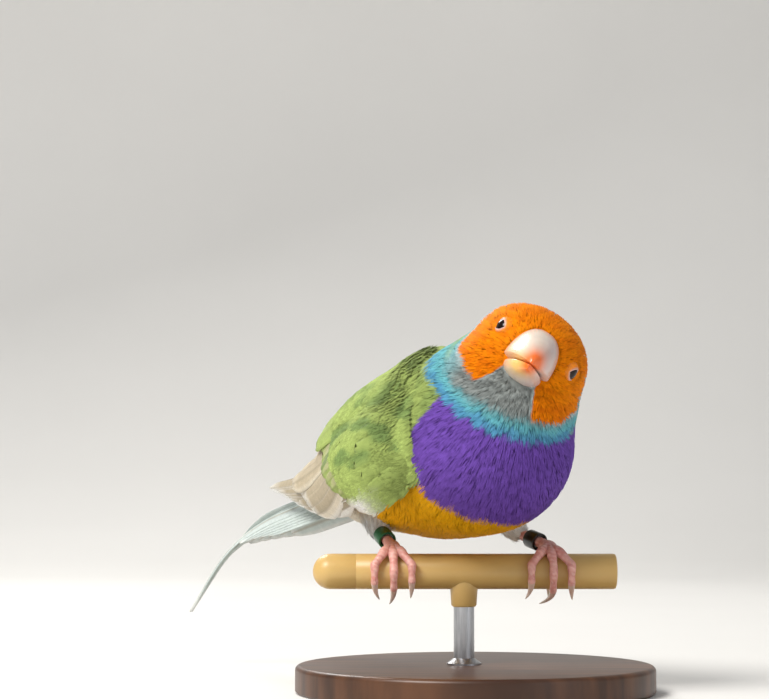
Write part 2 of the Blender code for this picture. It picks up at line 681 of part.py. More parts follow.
def tail():
    """Six pairs of feathers in steps, the middle pair on top and drawn out to long thin points."""
    vanes = []
    for sign in (-1, 1):
        for k, reach in enumerate(TAIL_REACH):
            rank = len(TAIL_REACH) - k
            s = np.array(TAIL_STATIONS)
            taper = np.sqrt(np.maximum(1 - (np.maximum(s - 0.5, 0) / 0.505)**2, 0))
            width = np.maximum(TAIL_FEATHER * np.minimum(0.5 + 2 * s, 1) * taper, VANE_TIP)
            offset = 0.9 + TAIL_SPREAD * rank
            vanes.append(tail_vane(reach * s, sign, offset, TAIL_STEP * rank, width))
        widths = np.array(STREAMER_WIDTHS)
        offset = np.minimum(0.55 * widths + 0.1, 0.75)
        vanes.append(tail_vane(np.array(STREAMER_STATIONS), sign, offset, 0.0, widths))
    root = ellipsoid(tail_frame(np.array([0.02]))[0][0] - 1.1 * BODY[2], BODY, np.array((9.0, 3.4, 2.2)))
    node = solid("tail", root, "cream_feather")
    joined(node, [solid("vane", shape, "cream_feather") for shape in vanes])
    joined(node, [body_cutter("rump_cut")], "DIFFERENCE")


def pad_centre(side):
    a = np.radians(PAD_ANGLE)
    reach = TOE_GRIP + 0.15
    return np.array([PAD_X[side], -reach * np.sin(a), PERCH_HEIGHT + reach * np.cos(a)])


def toe_path(side, spread, travelled, backward=False):
    """Points on a toe's centre line round the perch, by the distance travelled from the pad."""
    turn = travelled / TOE_GRIP
    angle = np.radians(PAD_ANGLE) + np.where(backward, -1, 1) * turn
    x = PAD_X[side] + spread * np.minimum(travelled / 6.0, 1)**1.2
    y, z = -TOE_GRIP * np.sin(angle), TOE_GRIP * np.cos(angle)
    return np.stack([x, y, PERCH_HEIGHT + z], -1)


def toe(side, digit, backward=False):
    """(toe, claw): the toe follows the perch and the claw leaves it and hooks down."""
    name, spread, length, claw, hook = digit
    along = np.linspace(0, length, 9)
    share = along / length
    knuckles = 1 + 0.09 * np.cos(2 * np.pi * 3 * share)
    radii = (TOE_RADII[0] + (TOE_RADII[1] - TOE_RADII[0]) * share) * knuckles
    path = toe_path(side, spread, along, backward)
    outward = unit(path - np.array([0, 0, PERCH_HEIGHT]) * 1.0 - path * np.array([1, 0, 0]))
    path = path + outward * (TOE_RADII[0] - radii)[:, None] * -0.6
    finger = solid(f"toe_{side}_{name}", tube(path, radii, 8, (1, 0, 0)), "leg_skin")
    end = path[-1]
    straight = unit(path[-1] - path[-2])
    inward = unit(np.array([0, -end[1], PERCH_HEIGHT - end[2]]))
    s = np.linspace(0, 1, 7)
    start = end + straight * (GAP + 0.02)
    bend = start + straight * claw * s[:, None] + inward * 0.16 * claw * (s**2)[:, None]
    bend[:, 0] += hook * s**2
    nail = tube(bend, 0.62 * (1 - s)**0.75 + 0.12, 6, (1, 0, 0))
    solid(f"claw_{side}_{name}", nail, "claw_horn")
    return finger


def foot(side):
    """Three toes forward and one back, fused to the pad on top of the perch."""
    centre = pad_centre(side)
    up_leg = unit(np.array(ANKLES[side]) - centre)
    across = unit(np.cross((0, 0, 1.0), up_leg))
    axes = np.stack([up_leg, across, np.cross(up_leg, across)])
    shape = ellipsoid(centre, axes, np.array(PAD_RADII), 8, 12)
    pad = solid(f"foot_{side}", shape, "leg_skin")
    toes = [toe(side, digit) for digit in TOES[side]]
    toes.append(toe(side, HALLUX, backward=True))
    joined(pad, toes)


def leg(side):
    """The feathered thigh's end, the bare tarsus and the ring that it wears."""
    ankle = np.array(ANKLES[side])
    pad = pad_centre(side)
    end = ankle + (pad - ankle) * THIGH_SHARE
    thigh_line = THIGH_ROOTS[side] + (end - THIGH_ROOTS[side]) * np.linspace(0, 1, 8)[:, None]
    radii = np.interp(np.arange(8), (0, 4, 7), THIGH_RADII)
    thigh = solid(f"thigh_{side}", tube(thigh_line, radii, 13), "yellow_feather")
    length = np.linalg.norm(pad - ankle)
    high = 1 - (PAD_RADII[0] + GAP) / length
    shares = np.array([THIGH_SHARE - GAP / length, high + GAP / length])[:, None]
    hole = tube(ankle + (pad - ankle) * shares, TARSUS_RADIUS + 1.15 * GAP, 11)
    joined(thigh, [body_cutter("belly_cut"), solid("shank_cut", hole, "eye")], "DIFFERENCE")
    s = np.linspace(THIGH_SHARE, high, 5)[:, None]
    solid(f"tarsus_{side}", tube(ankle + (pad - ankle) * s, TARSUS_RADIUS, 10), "leg_skin")
    along = unit(pad - ankle)
    end = pad - along * RING_ABOVE_PAD
    colour = "green_ring" if side == "right" else "black_ring"
    solid(f"leg_ring_{side}", band(end - along * RING_LENGTH, end, RING_INNER, RING_OUTER), colour)


def band(begin, end, inner, outer, sides=22):
    """(points, faces) of a plain round band with a square section."""
    along = unit(end - begin)
    side = unit(np.cross(along, (0, 0, 1.0)))
    up = np.cross(side, along)
    phi = np.linspace(0, 2 * np.pi, sides, endpoint=False)[:, None]
    circle = np.cos(phi) * side + np.sin(phi) * up
    corners = [begin + inner * circle, end + inner * circle, end + outer * circle, begin + outer * circle]
    points = np.vstack(corners)
    faces = []
    for k in range(4):
        a, b = k * sides, (k + 1) % 4 * sides
        for j in range(sides):
            n = (j + 1) % sides
            faces += [[a + j, a + n, b + n], [a + j, b + n, b + j]]
    return points, faces


def turned(profile, axis_start, axis, sides, phase=0.0):
    """(points, faces) of a turned form: each profile point is (distance along the axis, radius)."""
    axis = unit(axis)
    side = unit(np.cross(axis, (0.0, 1.0, 0.0)))
    up = np.cross(side, axis)
    phi = phase + np.linspace(0, 2 * np.pi, sides, endpoint=False)[:, None]
    circle = np.cos(phi) * side + np.sin(phi) * up
    rings = [axis_start + axis * d + r * circle for d, r in profile]
    return loft(rings, axis_start + axis * profile[0][0], axis_start + axis * profile[-1][0])


def perch():
    """A plain moulded perch with a domed end, a cut end and a boss below for the rod."""
    dome = [(PERCH_RADIUS * (1 - np.cos(a)), PERCH_RADIUS * np.sin(a)) for a in np.radians((12, 35, 60, 90))]
    length = PERCH_RIGHT - PERCH_LEFT
    profile = [*dome, (length - 0.4, PERCH_RADIUS), (length, PERCH_RADIUS - 0.4)]
    start = np.array([PERCH_LEFT, 0, PERCH_HEIGHT])
    bar = solid("perch", turned(profile, start, (1.0, 0, 0), 26), "perch_plastic")
    top = np.array([BOSS_X, 0, PERCH_HEIGHT - 1.0])
    profile = [(0, BOSS_RADII[0]), (PERCH_RADIUS - 1.0, BOSS_RADII[0]),
               (PERCH_RADIUS - 1.0 + BOSS_LENGTH, BOSS_RADII[1])]
    joined(bar, [solid("boss", turned(profile, top, (0, 0, -1.0), 21, 0.1), "perch_plastic")])


def stand():
    """A round base and one short rod up to the boss."""
    profile = [(0, BASE_RADIUS), (BASE_THICKNESS - BASE_BEVEL, BASE_RADIUS),
               (BASE_THICKNESS - 0.3 * BASE_BEVEL, BASE_RADIUS - 0.3 * BASE_BEVEL),
               (BASE_THICKNESS, BASE_RADIUS - BASE_BEVEL)]
    solid("stand_base", turned(profile, np.zeros(3), (0, 0, 1.0), 44), "stand_wood")
    low = BASE_THICKNESS + GAP
    high = PERCH_HEIGHT - PERCH_RADIUS - BOSS_LENGTH - GAP
    foot_ring = [(0, 3.2), (0.8, 3.2), (1.2, ROD_RADIUS), (high - low, ROD_RADIUS)]
    solid("stand_rod", turned(foot_ring, np.array([BOSS_X, 0, low]), (0, 0, 1.0), 24), "stand_steel")


def main():
    for old in list(bpy.data.objects):
        bpy.data.objects.remove(old)
    head = flesh_nodes()
    eyes_and_lids(head)
    bill()
    for side in ("right", "left"):
        wing(side)
        leg(side)
        foot(side)
    tail()
    perch()
    stand()


main()
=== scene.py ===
import bmesh
import bpy
import numpy as np
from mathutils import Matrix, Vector


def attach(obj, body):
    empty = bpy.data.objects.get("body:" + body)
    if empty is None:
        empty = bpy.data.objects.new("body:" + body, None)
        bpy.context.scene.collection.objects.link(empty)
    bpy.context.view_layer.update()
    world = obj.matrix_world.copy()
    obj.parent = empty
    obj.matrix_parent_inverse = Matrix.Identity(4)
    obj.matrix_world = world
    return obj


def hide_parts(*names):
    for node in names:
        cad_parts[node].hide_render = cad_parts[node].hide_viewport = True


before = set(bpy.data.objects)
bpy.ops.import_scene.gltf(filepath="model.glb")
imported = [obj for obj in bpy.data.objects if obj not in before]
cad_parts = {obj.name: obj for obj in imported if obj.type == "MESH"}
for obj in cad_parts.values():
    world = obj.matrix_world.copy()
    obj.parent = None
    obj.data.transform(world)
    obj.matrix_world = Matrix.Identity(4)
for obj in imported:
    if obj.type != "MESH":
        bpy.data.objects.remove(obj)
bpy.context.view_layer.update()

# Lengths are in millimetres and become metres where a mesh is made. The bird has two frames of its
# own, for the body and the head, whose rows point forward, to the bird's left and to its back.
MM = 0.001
GAP = 0.3
RANDOM = np.random.default_rng(7)

# Sizes that the solids were made from
PERCH_HEIGHT = 22.0
PERCH_RADIUS = 3.25
PERCH_LEFT, PERCH_RIGHT = -29.8, 26.0
BOSS_X = -2.0
BOSS_LENGTH = 3.2
BOSS_RADII = (2.7, 2.3)
BASE_RADIUS = 33.0
BASE_THICKNESS = 5.0
BASE_BEVEL = 0.9
ROD_RADIUS = 1.9
BODY_AT = np.array([-6.0, 4.0, PERCH_HEIGHT + 21.5])
BODY_HEADING, BODY_PITCH = 38.0, 14.0
HEAD_AT = np.array([10.2, -20.0, PERCH_HEIGHT + 39.6])
HEAD_HEADING, HEAD_PITCH, HEAD_ROLL, HEAD_NOD = 3.4, 3.0, -34.6, 8.0
MERGE = 1.1
TAIL_POLE = -34.0
MASSES = (
    ("body", (-1, 0, 1), (29, 15.5, 14)),
    ("body", (12, 0, -2.5), (17, 16, 15)),
    ("body", (4, 0.8, -4.2), (19, 13.2, 12)),
    ("body", (-26, 0, 0.5), (15, 7, 5)),
    ("body", (13, 0, 7.8), (16, 12.5, 10)),
    ("head", (-11, 0, -10), (12, 12, 12.5)),
    ("head", (-8, 6.2, -9.5), (9, 7, 9)),
    ("head", (-6.6, 0, -1.1), (9.8, 10.7, 8.7)),
    ("head", (-1.2, 0, -1.5), (5.8, 6.4, 6.0)),
    ("head", (-3.8, 5.4, -7.5), (7.5, 5.8, 6.8)),
    ("head", (-3.8, -5.4, -7.5), (7.5, 5.8, 6.8)),
    ("head", (-4, 0, -9.5), (8, 8, 8)),
)
EYE_CENTRE = (-0.5, 6.2, 0.0)
LORES = (2.2, 4.6, -1.6)
EYE_FACING = (0.38, 0.92)
EYE_RADIUS = 2.1
LID_RADIUS, LID_OUT, LID_THICK, LID_NARROW = 2.0, 1.25, 0.24, 0.3
LID_CLEAR = 0.05    # room kept free of barbs round the lid
BILL_ROOT, BILL_TIP, LOWER_TIP = 2.2, 14.5, 12.7
BILL_TOP, BILL_TIP_HEIGHT, BILL_HALF_WIDTH = 3.3, -2.8, 4.5
GAPE_HEIGHT, LOWER_ROOT_HEIGHT, LOWER_TIP_HEIGHT, LOWER_HALF_WIDTH = -4.7, -6.5, -3.7, 3.6
MOUTH_GAP = 0.06
NOSTRIL = (3.3, 1.9)
BILL_AROUND = 56
ANKLES = {"right": (-18.9, 10.5, 30.6), "left": (6.3, 12.0, 29.8)}
THIGH_ROOTS = {"right": (-18.0, 10.5, 37.0), "left": (0.8, 8.0, 38.5)}
PAD_X = {"right": -15.2, "left": 13.6}
TARSUS_RADIUS = 0.95
TOE_RADII = (0.95, 0.62)
TOE_GRIP = PERCH_RADIUS + GAP + TOE_RADII[0]
PAD_ANGLE = -4.0
RING_INNER, RING_OUTER, RING_LENGTH, RING_ABOVE_PAD = 1.3, 1.7, 3.2, 2.65
PAD_RADII = (1.9, 1.5, 1.1)
THIGH_SHARE = 0.34
THIGH_RADII = (4.6, 3.2, 1.7)
TOES = {
    "right": (("ii", 3.6, 9.3, 3.2, -0.2), ("iii", 0.3, 11.0, 4.6, -0.8), ("iv", -3.2, 9.6, 3.4, 0.9)),
    "left": (("ii", -3.4, 9.4, 3.3, -1.0), ("iii", 0.6, 11.6, 5.0, -2.2), ("iv", 3.9, 9.8, 3.4, 0.3)),
}
HALLUX = ("i", 0.2, 7.6, 4.2, 0.0)
WING_GUIDES = {
    "right": (
        ((17, 12.5, -6.0), (3.2, 15.4, -9.4), (-7, 13.4, -9.3), (-17, 11.0, -7.8), (-29, 7.9, -4.3),
         (-38, 6.9, -0.4), (-46.5, 5.9, 4.6)),
        ((15, 15.5, 5), (4, 18.5, 3), (-8, 17.5, 2), (-19, 13.5, 1.5), (-29, 9.6, 2.3), (-38, 7.6, 3.3),
         (-46.8, 6.0, 5.3)),
        ((13, 4, 17.5), (3, 1.6, 16.6), (-8, 1.2, 14.5), (-18, 1.2, 11.5), (-28, 2.2, 8.6),
         (-38, 4.3, 6.9), (-47, 5.7, 6.0)),
    ),
    "left": (
        ((17, 12.5, -6.0), (3.2, 15.6, -7.4), (-7, 15.4, -4.5), (-17, 13.6, 0.6), (-27, 11.4, 7.4),
         (-35, 10.2, 13.6), (-42, 9.4, 18.8)),
        ((15, 15.5, 5), (4, 18.5, 4), (-8, 18.0, 5.5), (-19, 14.8, 8.6), (-28, 12.4, 12.8),
         (-36, 10.6, 16.6), (-42.3, 9.5, 19.6)),
        ((13, 4, 17.5), (3, 1.6, 16.6), (-8, 2.0, 15.4), (-18, 3.6, 15.4), (-27, 5.6, 16.8),
         (-36, 8.2, 19.0), (-42.5, 9.3, 20.4)),
    ),
}
WING_CLEAR = 0.75
SHEET_ROWS, SHEET_COLUMNS, SHEET_TOP = 121, 61, 1.02
VANE_ROWS, VANE_COLUMNS = 17, 9
WING_SINK = 3.0     # how far the wing's front lies under the feathers of the breast
STRIPE_TOP = 0.13   # share of the wing's height that its pale lower edge takes
TAIL_LINE = ((-29, 0, 1.0), (-44, -0.8, 1.2), (-58, -1.8, 0.4), (-71, -2.8, -3.4), (-84, -4.4, -12.4))
TAIL_SLOPE = 42.0
TAIL_FEATHER = 2.0
TAIL_STEP = 0.2
TAIL_REACH = (0.40, 0.46, 0.52, 0.57, 0.62)
TAIL_SPREAD = 0.78

# Sizes of the coat
SKIN_AROUND = 140
COAT_DEPTH = 0.6     # how far the skin lies inside the solids
BAKE_PATCH = 0.003   # size of one tuft's patch on the OFBake map
WING_CELLS, TAIL_CELLS = 10, 4    # vanes to a row on that map
TUFT_ROOM = 0.285    # space between tufts as a share of their length
WING_TUFTS = 1900    # tufts over one wing's coverts
WING_TUFT_BARBS = 16
THIGH_BARBS = 6500   # barbs over one thigh
WING_BARB_WIDTH, THIGH_BARB_WIDTH = 0.1, 0.09
BODY_RINGS, RUMP_RINGS, FACE_RINGS = 92, 14, 44
MOST_BARBS = 18000   # barbs in one piece of the coat
ROOT_DRAWS = 2.2     # places tried for each tuft that finds room
ROOM_CELL = 1.6      # side of the cells in which near roots are looked for
ROOT_DEPTH = 0.1     # how far a barb's root lies under the skin
BARB_FLATNESS = 0.45
# Painted shade and light: barbs are darker at the root, deep in the coat, and lighter at the tip.
BARB_PAINTED_SHADE = np.array([0.84, 0.96, 1.04])    # brightness of a barb's root, middle and tip
BARB_BEND = 0.2      # how far the normals at a barb's edges turn outward


def srgb(red, green, blue):
    """A linear colour from values of 0 to 255 as a screen shows them."""
    c = np.array([red, green, blue], float) / 255
    return np.where(c <= 0.04045, c / 12.92, ((c + 0.055) / 1.055)**2.4)


ORANGE = srgb(252, 140, 0)
ORANGE_DARK = srgb(222, 104, 0)
THROAT_GREY = srgb(138, 144, 142)
LINE_GREY = srgb(176, 190, 192)
TURQUOISE = srgb(104, 182, 192)
BLUE = srgb(78, 138, 186)
PURPLE = srgb(112, 76, 172)
GREEN = srgb(158, 176, 98)
GREEN_DARK = srgb(96, 124, 72)
YELLOW = srgb(244, 176, 8)
CREAM = srgb(226, 216, 196)
PALE_BLUE = srgb(168, 200, 202)
BEIGE = srgb(186, 172, 146)
WHITE = srgb(244, 243, 238)
TAIL_PALE = srgb(212, 222, 218)


def unit(v):
    v = np.asarray(v, float)
    return v / np.maximum(np.linalg.norm(v, axis=-1, keepdims=True), 1e-12)


def facing(heading, pitch):
    """Frame whose forward axis turns from the viewer by the heading and rises by the pitch."""
    h, p = np.radians([heading, pitch])
    forward = np.array([np.sin(h) * np.cos(p), -np.cos(h) * np.cos(p), np.sin(p)])
    left = unit(np.cross([0, 0, 1.0], forward))
    return np.stack([forward, left, np.cross(forward, left)])


def rolled(axes, degrees):
    a = np.radians(degrees)
    f, left, up = axes
    return np.stack([f, left * np.cos(a) + up * np.sin(a), up * np.cos(a) - left * np.sin(a)])


def nodded(axes, degrees):
    a = np.radians(degrees)
    f, left, up = axes
    return np.stack([f * np.cos(a) - up * np.sin(a), left, up * np.cos(a) + f * np.sin(a)])


BODY = facing(BODY_HEADING, BODY_PITCH)
HEAD = nodded(rolled(facing(HEAD_HEADING, HEAD_PITCH), HEAD_ROLL), HEAD_NOD)


def in_body(point):
    return BODY_AT + np.asarray(point, float) @ BODY


def in_head(point):
    return HEAD_AT + np.asarray(point, float) @ HEAD


def body_coordinates(point):
    return (np.asarray(point, float) - BODY_AT) @ BODY.T


def head_coordinates(point):
    return (np.asarray(point, float) - HEAD_AT) @ HEAD.T


def field(points):
    """About how far each point is outside the bird's flesh and down."""
    distances = []
    for which, centre, radii in MASSES:
        axes, at = (BODY, BODY_AT) if which == "body" else (HEAD, HEAD_AT)
        radii = np.array(radii, float)
        q = (points - at - np.array(centre, float) @ axes) @ axes.T
        near = np.linalg.norm(q / radii, axis=-1)
        slope = np.linalg.norm(q / radii**2, axis=-1)
        distances.append(near * (near - 1) / np.maximum(slope, 1e-9))
    distances = np.stack(distances)
    least = distances.min(0)
    return least - MERGE * np.log(np.exp((least - distances) / MERGE).sum(0))


def slope_of_field(points, step=0.05):
    parts = [field(points + step * e) - field(points - step * e) for e in np.eye(3)]
    return unit(np.stack(parts, -1))


def pushed_out(points, clear):
    """Moves points that are nearer to the body than clear out to that distance."""
    points = np.array(points, float)
    for _ in range(8):
        short = np.maximum(clear - field(points), 0)
        points = points + slope_of_field(points) * short[..., None]
    return points


def bezier(corners, t):
    t = np.asarray(t, float)[..., None]
    a, b, c, d = corners
    return (1 - t)**3 * a + 3 * (1 - t)**2 * t * b + 3 * (1 - t) * t * t * c + t**3 * d


def through(points, t):
    """A smooth curve through the points, with t from 0 to 1."""
    points = np.asarray(points, float)
    last = len(points) - 1
    padded = np.vstack([2 * points[0] - points[1], points, 2 * points[-1] - points[-2]])
    x = np.clip(np.asarray(t, float) * last, 0, last - 1e-9)
    i = x.astype(int)
    f = (x - i)[..., None]
    p0, p1, p2, p3 = padded[i], padded[i + 1], padded[i + 2], padded[i + 3]
    cubic = (2 * p0 - 5 * p1 + 4 * p2 - p3) * f * f + (3 * p1 - p0 - 3 * p2 + p3) * f**3
    return 0.5 * (2 * p1 + (p2 - p0) * f + cubic)


SPINE_START = in_body((TAIL_POLE, 0, 0.5))
SPINE_END = in_head((-6.0, 0, -2.0))
SPINE = np.array([SPINE_START, SPINE_START + 26 * BODY[0],
                  SPINE_END - 14 * HEAD[0] - 14 * HEAD[2], SPINE_END])


def cast(origins, directions, level):
    """Where rays from inside the bird first leave it, at this level of the field."""
    reach = np.linspace(0, 45, 60)
    inside = np.stack([field(origins + directions * r) for r in reach]) < level
    first_out = np.argmax(~inside, axis=0)
    high = reach[first_out]
    low = reach[np.maximum(first_out - 1, 0)]
    for _ in range(14):
        middle = (low + high) / 2
        within = field(origins + directions * middle[..., None]) < level
        low = np.where(within, middle, low)
        high = np.where(within, high, middle)
    return origins + directions * high[..., None]


def ring(origin, forward, up, polar, level, around):
    left = unit(np.cross(up, forward))
    up = np.cross(forward, left)
    phi = np.linspace(0, 2 * np.pi, around, endpoint=False)[:, None]
    side = np.cos(phi) * up + np.sin(phi) * left
    directions = np.cos(polar) * forward + np.sin(polar) * side
    return cast(np.tile(origin, (around, 1)), directions, level)


def skin_grid(around, along, level):
    """Rings of points over the whole bird from behind the rump to the face, evenly spread."""
    rings = []
    for a in np.pi - np.pi / 2 * np.linspace(0.04, 0.97, RUMP_RINGS):
        rings.append(ring(SPINE_START, BODY[0], BODY[2], a, level, around))
    for t in np.linspace(0.0, 1.0, along):
        forward = unit((1 - t) * BODY[0] + t * HEAD[0])
        up = unit((1 - t) * BODY[2] + t * HEAD[2])
        rings.append(ring(bezier(SPINE, t), forward, up, np.pi / 2, level, around))
    for a in np.pi / 2 * (1 - np.linspace(0.03, 0.985, FACE_RINGS)):
        rings.append(ring(SPINE_END, HEAD[0], HEAD[2], a, level, around))
    return np.array(rings)


def mesh_object(name, points, faces, material, colours=None):
    """An object from points in millimetres and faces of one size, given as an array."""
    points = np.asarray(points, np.float32) * MM
    faces = np.asarray(faces, np.int32)
    sides = faces.shape[1]
    mesh = bpy.data.meshes.new(name)
    mesh.vertices.add(len(points))
    mesh.vertices.foreach_set("co", points.ravel())
    mesh.loops.add(faces.size)
    mesh.loops.foreach_set("vertex_index", faces.ravel())
    mesh.polygons.add(len(faces))
    mesh.polygons.foreach_set("loop_start", np.arange(0, faces.size, sides, dtype=np.int32))
    mesh.polygons.foreach_set("use_smooth", np.ones(len(faces), bool))
    mesh.update(calc_edges=True)
    if colours is not None:
        layer = mesh.color_attributes.new("Col", "FLOAT_COLOR", "POINT")
        rgba = np.ones((len(points), 4), np.float32)
        rgba[:, :3] = colours
        layer.data.foreach_set("color", rgba.ravel())
    mesh.materials.append(material)
    made = bpy.data.objects.new(name, mesh)
    bpy.context.scene.collection.objects.link(made)
    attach(made, "root")
    return made


def add_uv(piece, name, coordinates):
    """A UV map from one coordinate pair per vertex."""
    mesh = piece.data
    corner = np.empty(len(mesh.loops), np.int32)
    mesh.loops.foreach_get("vertex_index", corner)
    layer = mesh.uv_layers.new(name=name)
    layer.data.foreach_set("uv", np.asarray(coordinates, np.float32)[corner].ravel())


def faces_out(piece):
    """Turns the faces of a closed piece outward."""
    form = bmesh.new()
    form.from_mesh(piece.data)
    bmesh.ops.recalc_face_normals(form, faces=form.faces[:])
    form.to_mesh(piece.data)
    form.free()


# Markings

def step(x, edge, soft):
    """0 below the edge and 1 above it, with a soft change this wide."""
    t = np.clip((x - edge) / soft + 0.5, 0, 1)
    return t * t * (3 - 2 * t)


def blend(colours, new, weight):
    return colours + (new - colours) * weight[..., None]


def wave_noise(points, scale, seed):
    """A smooth value from -1 to 1 that changes over about this many millimetres."""
    draw = np.random.default_rng(seed)
    total = 0
    for _ in range(6):
        direction = unit(draw.normal(size=3))
        total = total + np.sin(points @ direction * (2 * np.pi / scale) * draw.uniform(0.6, 1.5)
                               + draw.uniform(0, 6.3))
    return total / 3.2


def mask_depth(h):
    """How far inside the orange mask a point of the head is, below 0 outside."""
    rear = np.interp(h[..., 2], (-11, -8, 0, 5, 8), (-3.5, -4.6, -6.4, -6.6, -6.8))
    bottom = np.interp(np.abs(h[..., 1]), (0, 3.4, 4.5, 6.3, 8.7, 10, 11.4, 12.4),
                       (-4.2, -5.4, -8.2, -11.2, -10.3, -9.4, -7.9, -4.6))
    return np.minimum(h[..., 0] - rear, (h[..., 2] - bottom) * 0.8)


def markings(points):
    """The bird's colour at points of its skin."""
    b, h = body_coordinates(points), head_coordinates(points)
    rough = wave_noise(points, 3.0, 3) * 0.3 + wave_noise(points, 1.2, 4) * 0.15
    shape = points.shape[:-1]
    colours = np.broadcast_to(GREEN, (*shape, 3)).copy()
    colours = blend(colours, GREEN_DARK, 0.35 * step(wave_noise(points, 9, 5), 0.1, 1.4))
    colours = blend(colours, PALE_BLUE, step(-b[..., 0], 17, 6) * step(b[..., 2], 1.5, 3))
    belly = step(-b[..., 2], 2.6, 2.5) * step(b[..., 0], -16, 6)
    colours = blend(colours, YELLOW, belly)
    under = step(-b[..., 2], 1.0, 2.5) * step(-b[..., 0], 13.5, 7)
    colours = blend(colours, CREAM, under)
    collar = 0.45 * h[..., 0] - 0.237 * h[..., 1] + 0.87 * h[..., 2] + 13.84 + rough
    side = np.interp(b[..., 2], (-17, -10.8, 0.1, 5.7, 9), (6.0, 8.4, 9.3, 16.5, 22))
    low = 0.75 * b[..., 0] + 0.66 * b[..., 2] + 0.4
    breast = step(b[..., 0] - side + rough, 0, 0.9) * step(low + rough, 0, 1.0)
    colours = blend(colours, PURPLE, breast)
    depth = mask_depth(h)
    near_head = step(collar, 0.0, 0.7)
    back = step(-depth, 3.0, 2.2) * step(h[..., 2] + 0.55 * h[..., 0], -13.0, 5.0)
    back = back * step(-h[..., 0], 5.5, 3.0)
    ring_colour = blend(np.broadcast_to(TURQUOISE, colours.shape), BLUE, step(1.6 - collar, 0, 1.4) * 0.75)
    ring_colour = blend(ring_colour, GREEN, back)
    colours = blend(colours, ring_colour, near_head * step(h[..., 0] + 17, 0, 6))
    throat = step(collar, 3.4, 2.6) * step(h[..., 0], -6.0, 5.0) * step(-h[..., 2], 2.0, 3.0)
    grey = THROAT_GREY * (1 + 0.28 * wave_noise(points, 1.6, 8))[..., None]
    colours = blend(colours, grey, throat * (1 - step(np.abs(h[..., 1]), 10.0, 3.0) * 0.5))
    line = step(depth, -0.9, 0.5) * step(h[..., 2], -9.5, 3.0)
    colours = blend(colours, LINE_GREY, line * 0.9)
    orange = blend(np.broadcast_to(ORANGE, colours.shape), ORANGE_DARK,
                   0.45 * step(wave_noise(points, 2.4, 9), 0.15, 1.2) + 0.25 * step(-h[..., 2], 6.0, 5.0))
    colours = blend(colours, orange, step(depth + 0.5 * rough, 0.0, 0.5))
    from_lores = np.linalg.norm(np.stack([h[..., 0], np.abs(h[..., 1]), h[..., 2]], -1) - LORES, axis=-1)
    return blend(colours, srgb(60, 36, 22), 0.75 * step(-from_lores, -0.9, 0.9))


# Materials

def new_material(name, roughness, specular, sheen=0.0, coat=0.0):
    made = bpy.data.materials.new(name)
    made.use_nodes = True
    shader = made.node_tree.nodes["Principled BSDF"]
    shader.inputs["Roughness"].default_value = roughness
    shader.inputs["Specular IOR Level"].default_value = specular
    shader.inputs["Sheen Weight"].default_value = sheen
    shader.inputs["Coat Weight"].default_value = coat
    return made, made.node_tree, shader


def noise_value(tree, scale, detail, stretch=(1, 1, 1)):
    """Noise on the object's own coordinates."""
    coordinates = tree.nodes.new("ShaderNodeTexCoord")
    mapping = tree.nodes.new("ShaderNodeMapping")
    mapping.inputs["Scale"].default_value = stretch
    noise = tree.nodes.new("ShaderNodeTexNoise")
    noise.inputs["Scale"].default_value = scale
    noise.inputs["Detail"].default_value = detail
    tree.links.new(coordinates.outputs["Object"], mapping.inputs["Vector"])
    tree.links.new(mapping.outputs["Vector"], noise.inputs["Vector"])
    return noise.outputs["Fac"]


def ranged(tree, value, low, high):
    made = tree.nodes.new("ShaderNodeMapRange")
    made.inputs["To Min"].default_value = low
    made.inputs["To Max"].default_value = high
    tree.links.new(value, made.inputs["Value"])
    return made.outputs["Result"]


def add_bump(tree, shader, height, strength, depth):
    """A bump this many millimetres deep."""
    bump = tree.nodes.new("ShaderNodeBump")
    bump.inputs["Strength"].default_value = strength
    bump.inputs["Distance"].default_value = depth * MM
    tree.links.new(height, bump.inputs["Height"])
    tree.links.new(bump.outputs["Normal"], shader.inputs["Normal"])


def add_paint(tree, shader, value):
    """Base colour from the Col attribute, lighter or darker by the value."""
    colour = tree.nodes.new("ShaderNodeAttribute")
    colour.attribute_name = "Col"
    tone = tree.nodes.new("ShaderNodeHueSaturation")
    tree.links.new(colour.outputs["Color"], tone.inputs["Color"])
    tree.links.new(value, tone.inputs["Value"])
    tree.links.new(tone.outputs["Color"], shader.inputs["Base Color"])


def add_subsurface(shader, weight, radius):
    shader.inputs["Subsurface Weight"].default_value = weight
    shader.inputs["Subsurface Radius"].default_value = radius
    shader.inputs["Subsurface Scale"].default_value = 1.0


def feather_material(name, roughness=0.75, sheen=0.02, barbs=False):
    """Painted from the Col attribute, with fine change of tone and, on vanes, the rows of barbs."""
    made, tree, shader = new_material(name, roughness, 0.08, sheen)
    shader.inputs["Sheen Roughness"].default_value = 0.45
    value = ranged(tree, noise_value(tree, 900, 2), 0.82, 1.16)
    if barbs:
        place = tree.nodes.new("ShaderNodeUVMap")
        place.uv_map = "Barbs"
        wave = tree.nodes.new("ShaderNodeTexWave")
        wave.inputs["Scale"].default_value = 9.0
        wave.inputs["Distortion"].default_value = 0.8
        wave.inputs["Detail"].default_value = 2
        wave.bands_direction = "Y"
        tree.links.new(place.outputs["UV"], wave.inputs["Vector"])
        add_bump(tree, shader, wave.outputs["Fac"], 0.35, 0.08)
        both = tree.nodes.new("ShaderNodeMath")
        both.operation = "MULTIPLY"
        tree.links.new(ranged(tree, wave.outputs["Fac"], 0.86, 1.1), both.inputs[0])
        tree.links.new(value, both.inputs[1])
        value = both.outputs["Value"]
    add_paint(tree, shader, value)
    return made


